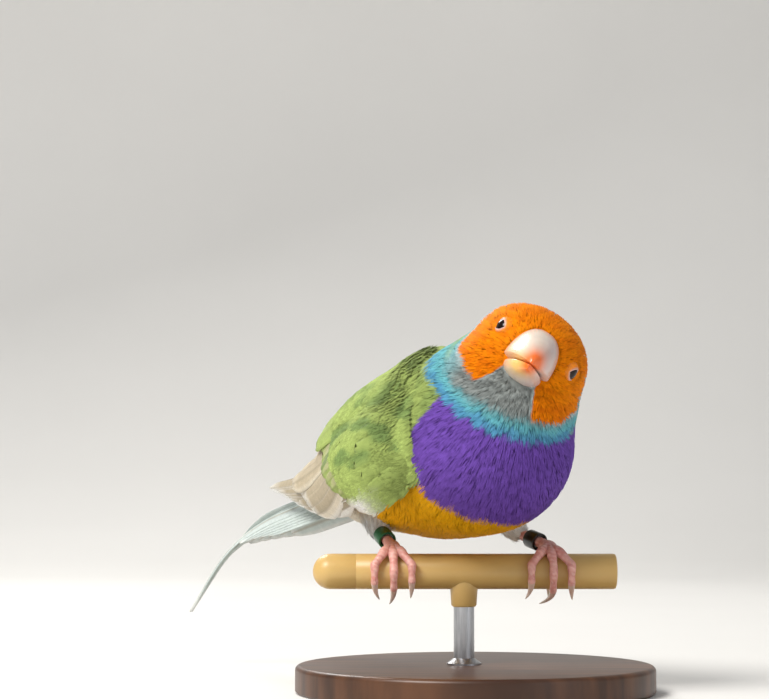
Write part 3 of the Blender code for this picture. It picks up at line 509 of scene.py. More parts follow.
def noisy_material(name, colour, other, scale, roughness, bump_depth=0.0, specular=0.5,
                   subsurface=0.0, stretch=(1, 1, 1)):
    """Two tones mixed by noise, with a bump from the same noise."""
    made, tree, shader = new_material(name, roughness, specular)
    noise = noise_value(tree, scale, 5, stretch)
    ramp = tree.nodes.new("ShaderNodeValToRGB")
    for stop, place, tone in zip(ramp.color_ramp.elements, (0.35, 0.65), (other, colour)):
        stop.position = place
        stop.color = (*tone, 1)
    tree.links.new(noise, ramp.inputs["Fac"])
    tree.links.new(ramp.outputs["Color"], shader.inputs["Base Color"])
    if subsurface:
        add_subsurface(shader, subsurface, (0.0012, 0.0006, 0.0004))
    if bump_depth:
        add_bump(tree, shader, noise, 0.6, bump_depth)
    return made


def painted_material(name, roughness, coat=0.0, subsurface=0.2, bump_scale=700, bump_depth=0.02):
    """Painted from the Col attribute, for bill, lids and toes."""
    made, tree, shader = new_material(name, roughness, 0.5, coat=coat)
    noise = noise_value(tree, bump_scale, 4)
    add_paint(tree, shader, ranged(tree, noise, 0.9, 1.08))
    add_bump(tree, shader, noise, 0.5, bump_depth)
    add_subsurface(shader, subsurface, (0.0012, 0.0007, 0.0005))
    return made


COAT = feather_material("coat")
VANES = feather_material("vanes", 0.6, 0.03, barbs=True)
HORN = painted_material("horn", 0.3, coat=0.25, subsurface=0.25, bump_scale=500, bump_depth=0.015)
SKIN_BARE = painted_material("bare_skin", 0.45, subsurface=0.2, bump_scale=1500, bump_depth=0.05)


# Skin

def build_skin():
    """One skin over rump, torso, neck and head, a coat's depth inside the solids."""
    grid = skin_grid(SKIN_AROUND, BODY_RINGS, -COAT_DEPTH)
    rows, around = grid.shape[:2]
    poles = [grid[0].mean(0), grid[-1].mean(0)]
    points = np.vstack([grid.reshape(-1, 3), poles])
    j = np.arange(around)
    k = (j + 1) % around
    faces = []
    for i in range(rows - 1):
        a, b = i * around, (i + 1) * around
        faces.append(np.stack([a + j, a + k, b + k], 1))
        faces.append(np.stack([a + j, b + k, b + j], 1))
    last = (rows - 1) * around
    faces.append(np.stack([k, j, np.full(around, rows * around)], 1))
    faces.append(np.stack([last + j, last + k, np.full(around, rows * around + 1)], 1))
    # The skin takes the markings darkened to 0.8, as painted shade under the coat.
    skin = mesh_object("skin", points, np.vstack(faces), COAT, markings(points) * 0.8)
    faces_out(skin)
    place = np.stack(np.meshgrid(np.linspace(0.02, 0.98, rows), j / around, indexing="ij"), -1)
    place = np.vstack([place.reshape(-1, 2), [[0.01, 0.5], [0.99, 0.5]]])
    add_uv(skin, "OFBake", place)
    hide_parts("head", "neck", "torso", "rump")
    return grid


# Coat

def feather_length(points):
    """How long the small feathers are: shortest round the bill, longest on flank and rump."""
    b, h = body_coordinates(points), head_coordinates(points)
    from_bill = np.linalg.norm(h - (3.0, 0, -2.0), axis=-1)
    face = np.interp(from_bill, (3, 8, 14, 24), (1.1, 1.7, 2.5, 3.8))
    return np.where(from_bill < 24, face, np.interp(b[..., 0], (-30, -10, 12), (5.0, 4.8, 3.8)))


def from_lid(h):
    """Distance of places in the head frame from the middle of the nearer eye's lid."""
    centre = np.array(EYE_CENTRE) + LID_OUT * np.array([*EYE_FACING, 0])
    return np.linalg.norm(np.stack([h[:, 0], np.abs(h[:, 1]), h[:, 2]], 1) - centre, axis=1)


def bare(h):
    """Whether a place in the head frame is under the bill or an eye."""
    at_bill = ((h[:, 1] / 4.4)**2 + ((h[:, 2] + 2.1) / 5.3)**2 < 1) & (h[:, 0] > 0.5)
    return at_bill | (from_lid(h) < LID_RADIUS + LID_CLEAR)


AROUND_CELL = [(x, y, z) for x in (-1, 0, 1) for y in (-1, 0, 1) for z in (-1, 0, 1)]


def scattered(grid):
    """Roots of the small feathers, spread about evenly: (points, lie, place on the grid)."""
    rows, around = grid.shape[:2]
    down = np.linalg.norm(np.diff(grid, axis=0), axis=-1)
    wide = np.linalg.norm(np.roll(grid, -1, 1) - grid, axis=-1)[:-1]
    area = (down * wide).ravel()
    length = feather_length(grid[:-1].reshape(-1, 3))
    weight = area / (TUFT_ROOM * length)**2
    count = int(weight.sum() * ROOT_DRAWS)
    cell = RANDOM.choice(area.size, count, p=weight / weight.sum())
    i, j = cell // around, cell % around
    fi, fj = RANDOM.random((2, count))
    jn = (j + 1) % around
    near = grid[i, j] * (1 - fj)[:, None] + grid[i, jn] * fj[:, None]
    far = grid[i + 1, j] * (1 - fj)[:, None] + grid[i + 1, jn] * fj[:, None]
    points = near * (1 - fi)[:, None] + far * fi[:, None]
    lie = unit(near - far)
    room = TUFT_ROOM * feather_length(points)
    keep = ~bare(head_coordinates(points))
    cells, kept = {}, []
    keys = np.floor(points / ROOM_CELL).astype(int)
    for n in np.flatnonzero(keep):
        key = tuple(keys[n])
        near_keys = ((key[0] + dx, key[1] + dy, key[2] + dz) for dx, dy, dz in AROUND_CELL)
        gaps = (points[n] - points[m] for near_key in near_keys for m in cells.get(near_key, ()))
        if all(gap @ gap >= room[n]**2 for gap in gaps):
            cells.setdefault(key, []).append(n)
            kept.append(n)
    kept = np.array(kept)
    place = np.stack([0.02 + 0.96 * (i + fi) / (rows - 1), (j + fj) / around], 1)
    return points[kept], lie[kept], place[kept]


def barb_mesh(name, paths, sides, normals, widths, thickness, colours, place):
    """Closed slivers: each path has a root, a middle and a tip."""
    count = len(paths)
    root, middle, tip = paths[:, 0], paths[:, 1], paths[:, 2]
    verts = np.empty((count, 7, 3))
    w, h = widths[:, None], thickness[:, None]
    for k, (centre, scale) in enumerate(((root, 0.75), (middle, 1.0))):
        verts[:, 3 * k] = centre - sides * w * scale
        verts[:, 3 * k + 1] = centre + sides * w * scale
        verts[:, 3 * k + 2] = centre + normals * h * scale
    verts[:, 6] = tip
    corner = np.array([(0, 2, 1), (0, 4, 3), (0, 1, 4), (1, 5, 4), (1, 2, 5), (2, 3, 5), (2, 0, 3),
                       (3, 4, 6), (4, 5, 6), (5, 3, 6)])
    faces = (np.arange(count)[:, None, None] * 7 + corner[None]).reshape(-1, 3)
    piece = mesh_object(name, verts.reshape(-1, 3), faces, COAT, colours.reshape(-1, 3))
    patch = np.array([(0, 0), (1, 0), (0.5, 0.4), (0, 0.5), (1, 0.5), (0.5, 0.8), (0.5, 1)]) * BAKE_PATCH
    uv = place[:, None, :] * (1 - BAKE_PATCH) + patch[None]
    add_uv(piece, "OFBake", uv.reshape(-1, 2))
    bend = BARB_BEND * np.array([-1, 1, 0, -1, 1, 0, 0])
    blended = normals[:, None, :] + bend[None, :, None] * sides[:, None, :]
    piece.data.normals_split_custom_set_from_vertices(unit(blended).reshape(-1, 3).tolist())
    return piece


def barbs_on_skin(points, lie, place):
    """Every small feather as a fan of barbs that rise from the skin and lie along the body."""
    length = feather_length(points) * RANDOM.uniform(0.92, 1.1, len(points))
    count = np.where(length < 2.2, 13, np.where(length < 3.2, 18, 24))
    n = np.repeat(np.arange(len(points)), count)
    first = np.concatenate([[0], np.cumsum(count)[:-1]])
    rank = (np.arange(len(n)) - first[n]) / (count[n] - 1)
    normal = slope_of_field(points)[n]
    along = lie[n] - normal * (lie[n] * normal).sum(1)[:, None]
    turn = RANDOM.normal(0, 0.07, len(points))[n]
    along = unit(along)
    across = np.cross(normal, along)
    along, across = (along * np.cos(turn)[:, None] + across * np.sin(turn)[:, None],
                     across * np.cos(turn)[:, None] - along * np.sin(turn)[:, None])
    side = rank * 2 - 1
    fan = side * 0.15 + RANDOM.normal(0, 0.05, len(n))
    start = ((1 - np.abs(side)) * 0.3 + RANDOM.uniform(-0.12, 0.3, len(n))) * length[n]
    reach = length[n] * (1 - 0.42 * (1 - np.abs(side))) * np.cos(side * 0.8)
    reach = reach * RANDOM.uniform(0.86, 1.08, len(n))
    reach = np.maximum(reach, 0.35 * length[n])
    heading = along * np.cos(fan)[:, None] + across * np.sin(fan)[:, None]
    bent = unit(heading + along * 0.7)
    aside = (side * 0.15 + RANDOM.normal(0, 0.06, len(n))) * length[n]
    root = points[n] + along * start[:, None] + across * aside[:, None]
    middle = root + heading * (reach * 0.45)[:, None]
    tip = middle + bent * (reach * 0.55)[:, None]
    lift = RANDOM.uniform(-0.03, 0.04, len(points))[n]
    total = length[n]

    def at_height(place_now, from_root, extra):
        share = np.clip(from_root / total, 0, 1)
        target = -COAT_DEPTH - ROOT_DEPTH + (COAT_DEPTH + 0.05) * share**0.6 + extra * share
        away = field(place_now)
        for _ in range(2):
            place_now = place_now - slope_of_field(place_now) * (away - target)[:, None]
            away = field(place_now)
        return place_now

    camber = lift + 0.02 * (1 - side**2)
    root = at_height(root, start, camber)
    middle = at_height(middle, start + reach * 0.45, camber)
    tip = at_height(tip, start + reach, camber - 0.03)
    clear_of_eye = np.minimum(from_lid(head_coordinates(middle)), from_lid(head_coordinates(tip)))
    tone = 1 + RANDOM.normal(0, 0.025, len(points))[n] + RANDOM.normal(0, 0.05, len(n))
    # Painted shade and light: each barb is darker at its root and lighter at its tip.
    colours = markings(0.35 * middle + 0.65 * tip)[:, None] * BARB_PAINTED_SHADE[None, :, None]
    colours = np.clip(colours * tone[:, None, None], 0, 1)
    colours = colours[:, [0, 0, 0, 1, 1, 1, 2]]
    middle_normal = slope_of_field(middle)
    sides = unit(np.cross(middle_normal, unit(tip - root)))
    widths = np.interp(length[n], (1, 2.5, 5), (0.048, 0.066, 0.096))
    paths = np.stack([root, middle, tip], 1)
    keep = np.flatnonzero(clear_of_eye > LID_RADIUS + LID_CLEAR)
    order = keep[np.argsort(place[n][keep][:, 0], kind="stable")]
    pieces = int(np.ceil(len(order) / MOST_BARBS))
    for k, part in enumerate(np.array_split(order, pieces)):
        barb_mesh(f"coat_{k:02d}", paths[part], sides[part], middle_normal[part], widths[part],
                  widths[part] * BARB_FLATNESS, colours[part], place[n][part])


# Wing and tail feathers

def wing_surface(side, u, v):
    sign = -1 if side == "right" else 1
    low, crest, high = (through(np.array(g, float) * (1, sign, 1), u) for g in WING_GUIDES[side])
    v = np.asarray(v, float)[..., None]
    local = (1 - v)**2 * low + 2 * v * (1 - v) * (2 * crest - (low + high) / 2) + v * v * high
    return in_body(local)


def wing_sheet(side):
    """A grid of (points, outward normals) over the wing's inner face, held clear of the body."""
    u, v = np.meshgrid(np.linspace(0, 1, SHEET_ROWS), np.linspace(0, SHEET_TOP, SHEET_COLUMNS),
                       indexing="ij")
    points = pushed_out(wing_surface(side, u, v), WING_CLEAR)
    turned_out = 1.0 if side == "left" else -1.0
    normals = unit(np.cross(np.gradient(points, axis=0), np.gradient(points, axis=1))) * turned_out
    return points, normals


WING_SHEETS = {side: wing_sheet(side) for side in ("right", "left")}


def wing_face(side, u, v):
    """(points, outward normals) of the wing's inner face, from the grid."""
    x = np.clip(u, 0, 1) * (SHEET_ROWS - 1)
    y = np.clip(v / SHEET_TOP, 0, 1) * (SHEET_COLUMNS - 1)
    i, j = np.minimum(x.astype(int), SHEET_ROWS - 2), np.minimum(y.astype(int), SHEET_COLUMNS - 2)
    p, q = (x - i)[..., None], (y - j)[..., None]
    found = []
    for sheet in WING_SHEETS[side]:
        near = sheet[i, j] * (1 - q) + sheet[i, j + 1] * q
        far = sheet[i + 1, j] * (1 - q) + sheet[i + 1, j + 1] * q
        found.append(near * (1 - p) + far * p)
    return found[0], unit(found[1])


def wing_sink(u, v):
    """How far the front of the wing lies under the feathers of breast and neck."""
    front = np.interp(v, (0.0, 0.3, 0.7, 1.0), (0.10, 0.14, 0.12, 0.06))
    return WING_SINK * (1 - step(u, front, 0.12))


class Vanes:
    """Gathers thin closed feather plates and makes them into one object."""

    def __init__(self):
        self.points, self.faces, self.colours, self.barbs, self.bake = [], [], [], [], []
        self.size = 0
        self.number = 0

    def add(self, bottom, normals, thickness, colours, length, cells):
        """One plate from its lower face's grid of rows along and columns across the feather."""
        rows, columns = bottom.shape[:2]
        top = bottom + normals * thickness[..., None]
        count = rows * columns
        self.points += [bottom.reshape(-1, 3), top.reshape(-1, 3)]
        faces = []
        for i in range(rows - 1):
            for j in range(columns - 1):
                a, b = i * columns + j, i * columns + j + 1
                c, d = a + columns, b + columns
                faces += [(a, b, d, c), (count + a, count + c, count + d, count + b)]
        rim = [i * columns for i in range(rows)]
        rim += [(rows - 1) * columns + j for j in range(1, columns)]
        rim += [i * columns + columns - 1 for i in range(rows - 2, -1, -1)]
        rim += list(range(columns - 2, 0, -1))
        for a, b in zip(rim, rim[1:] + rim[:1]):
            faces.append((a, b, count + b, count + a))
        self.faces.append(np.array(faces) + self.size)
        self.size += 2 * count
        # The lower face gets the colours darkened to 0.8, as painted shade; the upper face keeps them.
        self.colours += [colours.reshape(-1, 3) * 0.8, colours.reshape(-1, 3)]
        x = np.linspace(-1, 1, columns)[None, :] * np.ones((rows, 1))
        s = np.linspace(0, 1, rows)[:, None] * np.ones((1, columns))
        rows_of_barbs = np.stack([x * 0.5, s * length * 0.35 - np.abs(x) * 0.7], -1).reshape(-1, 2)
        self.barbs += [rows_of_barbs, rows_of_barbs]
        cell = np.array([self.number % cells, self.number // cells])
        inside = np.stack([0.5 + 0.45 * x, 0.05 + 0.9 * s], -1).reshape(-1, 2)
        self.bake += [(cell + inside) / cells] * 2
        self.number += 1

    def build(self, name):
        piece = mesh_object(name, np.vstack(self.points), np.vstack(self.faces), VANES,
                            np.clip(np.vstack(self.colours), 0, 1))
        faces_out(piece)
        add_uv(piece, "OFBake", np.vstack(self.bake))
        add_uv(piece, "Barbs", np.vstack(self.barbs))
        return piece


def plume_width(s, pointed):
    """Share of a feather's full half width at each place along it."""
    taper = np.sqrt(np.maximum(1 - (np.maximum(s - 0.55, 0) / 0.455)**2, 0))
    return (0.35 + 0.65 * np.minimum(s / 0.3, 1)) * taper**pointed


def pale_edge(u, v):
    """How pale the coverts are at their lower edge."""
    return step(-v, -STRIPE_TOP, 0.07) * step(u, 0.2, 0.1)


def dark_patches(points, v):
    """Where the coverts are a darker green."""
    return step(wave_noise(points, 7, 12), 0.2, 0.7) * step(v, 0.3, 0.1) * 0.7


def wing_vane(vanes, side, start, end, half_width, heights, tilt, pointed, paint, stripe):
    """One feather of the wing, from its root (u, v) on the wing's face to its tip."""
    rows, columns = VANE_ROWS, VANE_COLUMNS
    s = np.linspace(0, 1, rows)
    u = start[0] + (end[0] - start[0]) * s
    v = start[1] + (end[1] - start[1]) * s**1.3
    lower, upper = wing_surface(side, u, 0 * u), wing_surface(side, u, 0 * u + 1)
    crest = wing_surface(side, u, 0 * u + 0.5)
    span = np.linalg.norm(crest - lower, axis=1) + np.linalg.norm(upper - crest, axis=1)
    width = np.maximum(half_width * plume_width(s, pointed), 0.1)
    x = np.linspace(-1, 1, columns)
    ragged = RANDOM.normal(0, 0.008, (rows, columns)) * (np.abs(x) > 0.9)
    uu = np.clip(u[:, None] * np.ones((1, columns)) + ragged, 0, 1)
    vv = np.clip(v[:, None] + (width / span)[:, None] * x, 0.0, 1.02)
    inner, out = wing_face(side, uu, vv)
    height = heights[0] + (heights[1] - heights[0]) * s[:, None] + tilt * x - 0.12 * x * x
    height = height - wing_sink(uu, vv)
    bottom = inner + out * height[..., None]
    rachis = np.exp(-(x / 0.11)**2)
    thickness = 0.09 + 0.10 * rachis[None, :] * (1 - 0.6 * s[:, None])
    length = np.linalg.norm(np.diff(bottom[:, columns // 2], axis=0), axis=1).sum()
    colours = paint(s[:, None], x[None, :])
    if stripe:
        colours = blend(colours, WHITE, pale_edge(uu, vv))
        colours = blend(colours, GREEN_DARK, dark_patches(bottom, vv))
    vanes.add(bottom, out, thickness, colours, length, WING_CELLS)


def web_paint(inner_web, outer_web, edge, rachis, outer_side):
    """Colours across a vane: inner and outer web, a pale edge and the shaft."""

    def paint(s, x):
        x = x * outer_side + 0 * s
        s = s + 0 * x
        colours = blend(np.broadcast_to(inner_web, (*x.shape, 3)), outer_web, step(x, 0.05, 0.5))
        colours = blend(colours, edge, step(x, 0.72, 0.35) * 0.9)
        colours = blend(colours, edge, step(s, 0.93, 0.12) * 0.6)
        colours = blend(colours, rachis, np.exp(-(x / 0.1)**2) * 0.6)
        return colours * (0.93 + 0.1 * s)[..., None]

    return paint


# count, (u, v) of the first and last feather's root, then of their tips, half width, heights at root
# and tip, tilt, pointedness
WING_TIERS = {
    "primaries": (9, ((0.34, 0.10), (0.34, 0.5)), ((0.76, 0.06), (1.0, 0.5)), 2.1, (0.3, 0.15),
                  0.12, 1.0),
    "secondaries": (8, ((0.3, 0.25), (0.34, 0.74)), ((0.64, 0.06), (0.75, 0.62)), 2.7, (0.5, 0.85),
                    0.16, 0.6),
    "tertials": (4, ((0.32, 0.58), (0.34, 0.9)), ((0.76, 0.46), (0.6, 0.9)), 3.0, (0.8, 1.45), 0.16, 0.7),
    "greater": (10, ((0.12, 0.1), (0.16, 0.68)), ((0.31, 0.06), (0.46, 0.64)), 2.2, (0.9, 1.5), 0.16, 0.6),
    "median": (9, ((0.06, 0.12), (0.08, 0.72)), ((0.24, 0.10), (0.34, 0.7)), 2.3, (0.9, 1.85), 0.16, 0.6),
    "lesser": (8, ((0.0, 0.12), (0.0, 0.74)), ((0.19, 0.12), (0.21, 0.72)), 2.4, (0.5, 1.8), 0.16, 0.6),
    "scapulars": (5, ((0.05, 0.72), (0.05, 0.96)), ((0.5, 0.72), (0.42, 0.94)), 2.8, (1.0, 2.1),
                  0.16, 0.6),
    "mantle": (4, ((0.0, 0.74), (0.0, 0.97)), ((0.26, 0.76), (0.24, 0.95)), 2.9, (0.7, 2.2), 0.16, 0.6),
}


def wing_paints():
    """The paint of each tier; the outer web is at x below 0."""
    covert = web_paint(GREEN * 0.92, GREEN, GREEN * 1.12, GREEN * 0.8, -1)
    shoulder = web_paint(GREEN, GREEN * 1.05, GREEN * 1.18, GREEN * 0.85, -1)
    return {
        "primaries": web_paint(BEIGE * 0.9, WHITE, WHITE, BEIGE * 0.7, -1),
        "secondaries": web_paint(BEIGE, CREAM * 1.1, WHITE, BEIGE * 0.7, -1),
        "tertials": web_paint(BEIGE, BEIGE * 1.08, CREAM, BEIGE * 0.7, -1),
        "greater": web_paint(blend(np.array([BEIGE]), GREEN, np.array([0.45]))[0], GREEN, GREEN * 1.15,
                             GREEN * 0.7, -1),
        "median": covert,
        "lesser": covert,
        "scapulars": shoulder,
        "mantle": shoulder,
    }


def build_wing(side):
    """The folded wing: every flight feather and covert as a thin vane, and barbs over the coverts."""
    vanes = Vanes()
    paints = wing_paints()
    for name, (count, starts, ends, half_width, heights, tilt, pointed) in WING_TIERS.items():
        for k in range(count):
            share = k / (count - 1)
            start = [a + (b - a) * share for a, b in zip(*starts)]
            end = [a + (b - a) * share for a, b in zip(*ends)]
            end[0] += RANDOM.normal(0, 0.006)
            end[1] += RANDOM.normal(0, 0.006)
            lift = RANDOM.uniform(0, 0.08)
            wing_vane(vanes, side, start, end, half_width, (heights[0] + lift, heights[1] + lift), tilt,
                      pointed, paints[name], name in ("greater", "median", "lesser"))
    wing = vanes.build(f"wing_feathers_{side}")
    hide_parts(f"wing_{side}")
    wing_barbs(side)


def wing_barbs(side):
    """Fine barbs over the coverts, the scapulars and the mantle."""
    v = RANDOM.uniform(0.03, 0.98, WING_TUFTS)
    u = 0.05 + RANDOM.random(WING_TUFTS)**0.9 * (0.18 + 0.17 * v)
    uu = np.repeat(u, WING_TUFT_BARBS)
    vv = np.repeat(v, WING_TUFT_BARBS)
    spread = np.tile(np.linspace(-1, 1, WING_TUFT_BARBS), WING_TUFTS)
    point, normal = wing_face(side, uu, vv)
    ahead, _ = wing_face(side, np.minimum(uu + 0.02, 1), vv)
    along = unit(ahead - point)
    across = np.cross(normal, along)
    length = np.repeat(RANDOM.uniform(2.6, 3.8, WING_TUFTS), WING_TUFT_BARBS)
    height = np.interp(uu, (0.0, 0.06, 0.2, 0.45), (1.7, 1.8, 1.95, 1.75)) + np.repeat(
        RANDOM.uniform(-0.04, 0.06, WING_TUFTS), WING_TUFT_BARBS)
    height = height + 0.14 + 0.4 * step(vv, 0.66, 0.2) - wing_sink(uu, vv)
    fan = spread * 0.25 + RANDOM.normal(0, 0.05, len(uu))
    heading = along * np.cos(fan)[:, None] + across * np.sin(fan)[:, None]
    start = (1 - np.abs(spread)) * 0.4 * length
    reach = length - start * 0.9
    aside = (spread * 0.15 + RANDOM.normal(0, 0.05, len(uu))) * length
    root = point + along * start[:, None] + across * aside[:, None] + normal * (height - 0.35)[:, None]
    middle = root + heading * (reach * 0.45)[:, None] + normal * 0.3
    tip = middle + unit(heading + along * 0.7) * (reach * 0.5)[:, None] + normal * 0.02
    sag = (reach**2 / 34)[:, None]
    middle, tip = middle - normal * sag * 0.2, tip - normal * sag
    base = blend(np.broadcast_to(GREEN, root.shape), GREEN_DARK, dark_patches(root, vv))
    base = blend(base, WHITE, pale_edge(uu, vv))
    base = base * (1 + 0.3 * np.exp(-(spread / 0.14)**2))[:, None]
    base = blend(base, GREEN * 1.2, step(vv, 0.75, 0.3) * 0.4)
    tone = 1 + np.repeat(RANDOM.normal(0, 0.07, WING_TUFTS), WING_TUFT_BARBS)
    tone = tone + RANDOM.normal(0, 0.05, len(uu))
    base = base * tone[:, None]
    # Painted shade and light: each barb is darker at its root and lighter at its tip.
    colours = np.stack([base * 0.82] * 3 + [base * 0.95] * 3 + [base * 1.08], 1)
    sides = unit(np.cross(normal, unit(tip - root)))
    widths = np.full(len(uu), WING_BARB_WIDTH)
    place = np.stack([0.02 + 0.95 * uu / 0.44, 0.02 + 0.95 * vv], 1)
    paths = np.stack([root, middle, tip], 1)
    colours = np.clip(colours, 0, 1)
    for k, part in enumerate(np.array_split(np.argsort(vv, kind="stable"), 2)):
        barb_mesh(f"wing_coat_{side}_{k}", paths[part], sides[part], normal[part], widths[part],
                  widths[part] * 0.4, colours[part], place[part])


def tail_frame(t):
    line = in_body(through(TAIL_LINE, t))
    ahead = in_body(through(TAIL_LINE, np.minimum(t + 0.01, 1)))
    behind = in_body(through(TAIL_LINE, np.maximum(t - 0.01, 0)))
    along = unit(ahead - behind)
    left = unit(np.cross(BODY[2], -along))
    return line, along, left, np.cross(-along, left)


def tail_vane(vanes, t, sign, offset, drop, half_width, paint):
    line, _, left, up = tail_frame(t)
    slope = np.radians(TAIL_SLOPE) * sign
    side = left * np.cos(slope) - up * np.sin(slope)
    out = left * np.sin(slope) + up * np.cos(slope)
    beside = np.broadcast_to(offset, t.shape)[:, None]
    middle = line + side * beside * sign - out * drop
    width = np.broadcast_to(half_width, t.shape)[:, None]
    x = np.linspace(-1, 1, 9)
    grid = middle[:, None] + side[:, None] * (width * x)[..., None]
    grid = grid - out[:, None] * (0.12 * sign * x + 0.1 * x * x)[None, :, None] + out[:, None] * 0.25
    normals = np.broadcast_to(out[:, None], grid.shape)
    s = np.linspace(0, 1, len(t))
    thickness = 0.09 + 0.1 * np.exp(-(x / 0.12)**2)[None, :] * (1 - 0.5 * s[:, None])
    length = np.linalg.norm(np.diff(middle, axis=0), axis=1).sum()
    vanes.add(grid, normals, thickness, paint(s[:, None], x[None, :]), length, TAIL_CELLS)


def build_tail():
    """Twelve tail feathers: five stepped pairs and the middle pair with its long thin points."""
    vanes = Vanes()
    paint = web_paint(TAIL_PALE * 0.93, TAIL_PALE, WHITE, BEIGE * 0.8, 1)
    for sign in (-1, 1):
        for k, reach in enumerate(TAIL_REACH):
            rank = len(TAIL_REACH) - k
            s = np.linspace(0, 1, 22)
            taper = np.sqrt(np.maximum(1 - (np.maximum(s - 0.5, 0) / 0.502)**2, 0))
            width = np.maximum((TAIL_FEATHER + 0.3) * np.minimum(0.5 + 2 * s, 1) * taper, 0.1)
            tail_vane(vanes, reach * s, sign, 0.9 + TAIL_SPREAD * rank, TAIL_STEP * rank, width, paint)
        s = np.linspace(0, 1, 40)
        widths = np.interp(s, (0.0, 0.15, 0.3, 0.45, 0.56, 0.64, 0.72, 0.86, 1.0),
                           (1.2, 1.9, 2.2, 2.2, 1.6, 0.7, 0.42, 0.3, 0.08))
        offset = np.minimum(0.55 * widths + 0.1, 0.75)
        tail_vane(vanes, s, sign, offset, 0.0, widths, paint)
    tail = vanes.build("tail_feathers")
    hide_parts("tail")


# Closed round forms

def loft(rings, first=None, last=None):
    rings = [np.asarray(r, float) for r in rings]
    n = len(rings[0])
    first = rings[0].mean(0) if first is None else first
    last = rings[-1].mean(0) if last is None else last
    points = np.vstack([*rings, first[None], last[None]])
    j = np.arange(n)
    k = (j + 1) % n
    faces = []
    for i in range(len(rings) - 1):
        a, b = i * n, (i + 1) * n
        faces.append(np.stack([a + j, a + k, b + k], 1))
        faces.append(np.stack([a + j, b + k, b + j], 1))
    top = (len(rings) - 1) * n
    faces.append(np.stack([k, j, np.full(n, len(rings) * n)], 1))
    faces.append(np.stack([top + j, top + k, np.full(n, len(rings) * n + 1)], 1))
    return points, np.vstack(faces)


def merged(shapes):
    points, faces, size = [], [], 0
    for p, f in shapes:
        points.append(p)
        faces.append(np.asarray(f) + size)
        size += len(p)
    return np.vstack(points), np.vstack(faces)


def ball(centre, axes, radii, rings=24, around=32):
    axes = np.asarray(axes, float)
    phi = np.linspace(0, 2 * np.pi, around, endpoint=False)
    rows = []
    for a in np.pi * np.arange(1, rings) / rings:
        local = np.stack([np.full(around, -np.cos(a)), np.sin(a) * np.cos(phi), np.sin(a) * np.sin(phi)], 1)
        rows.append(centre + (local * radii) @ axes)
    return loft(rows, centre - radii[0] * axes[0], centre + radii[0] * axes[0])


def closed_ring(around, section):
    """Faces of a ring whose points run round each section in turn."""
    i, j = np.meshgrid(np.arange(around), np.arange(section), indexing="ij")
    after, beside = (i + 1) % around, (j + 1) % section
    corners = [i * section + j, i * section + beside, after * section + beside, after * section + j]
    return np.stack(corners, -1).reshape(-1, 4)


def tube(path, radii, sides=20, hint=(0, 0, 1.0)):
    path = np.asarray(path, float)
    tangent = unit(np.gradient(path, axis=0))
    radii = np.broadcast_to(radii, (len(path),))
    phi = np.linspace(0, 2 * np.pi, sides, endpoint=False)[:, None]
    rings = []
    for point, along, radius in zip(path, tangent, radii):
        side = unit(np.cross(along, hint))
        up = np.cross(side, along)
        rings.append(point + radius * (np.cos(phi) * side + np.sin(phi) * up))
    return loft(rings, path[0], path[-1])


def turned(profile, axis_start, axis, sides):
    axis = unit(axis)
    side = unit(np.cross(axis, (0.0, 1.0, 0.0)))
    up = np.cross(side, axis)
    phi = np.linspace(0, 2 * np.pi, sides, endpoint=False)[:, None]
    circle = np.cos(phi) * side + np.sin(phi) * up
    rings = [axis_start + axis * d + r * circle for d, r in profile]
    return loft(rings, axis_start + axis * profile[0][0], axis_start + axis * profile[-1][0])


# Bill and eyes

def bill_rings(root, tip, top, bottom, half_width, seat, count):
    """Rings of one half of the bill from its root to its tip, widest at this share of the height."""
    rings = []
    for s in 1 - (1 - np.linspace(0, 0.997, count))**1.35:
        x = root + (tip - root) * s
        high, low = top(s), bottom(s)
        width = half_width * (1 - s**2.1)**0.8 + 0.1
        a = np.linspace(0, 2 * np.pi, BILL_AROUND, endpoint=False)
        y = width * np.sign(np.cos(a)) * np.abs(np.cos(a))**0.8
        middle = low + (high - low) * seat
        z = middle + np.where(np.sin(a) > 0, high - middle, middle - low) * np.sin(a)
        rings.append(in_head(np.stack([np.full(BILL_AROUND, x), y, z], 1)))
    return rings


def gape(s):
    return GAPE_HEIGHT + (BILL_TIP_HEIGHT - 0.15 - GAPE_HEIGHT) * np.minimum(s * 1.05, 1)**0.8


def bill_colours(points):
    h = head_coordinates(points)
    # Painted shade: the bill's left side is darker and lilac-grey.
    ivory, painted_shade_lilac = srgb(226, 212, 196), srgb(206, 184, 182)
    colours = blend(np.broadcast_to(ivory, points.shape), painted_shade_lilac, step(h[:, 1], 0.5, 4.0) * 0.8)
    warm = step(-h[:, 1], 1.5, 3.5) * step(-h[:, 2], 2.0, 3.0) * 0.5
    colours = blend(colours, srgb(228, 190, 150), warm)
    cream = np.exp(-(((h[:, 1] + 1.4) / 2.2)**2 + ((h[:, 2] + 4.4) / 1.9)**2 + ((h[:, 0] - 11.5) / 5)**2))
    colours = blend(colours, srgb(250, 204, 112), np.clip(cream * 1.3, 0, 0.9))
    tip = np.exp(-(((h[:, 0] - 13.2) / 3.4)**2 + ((h[:, 1] - 0.3) / 1.9)**2 + ((h[:, 2] + 2.8) / 2.4)**2))
    colours = blend(colours, srgb(240, 108, 14), np.clip(tip * 1.4, 0, 0.95))
    nostril = np.linalg.norm(np.stack([h[:, 0], np.abs(h[:, 1])], 1) - NOSTRIL, axis=1)
    colours = blend(colours, srgb(70, 44, 36), step(-nostril, -0.42, 0.3) * (h[:, 2] > 0))
    root = step(2.6 - h[:, 0] + 0.5, 0, 1.2)
    return blend(colours, srgb(196, 160, 150), root * 0.6)


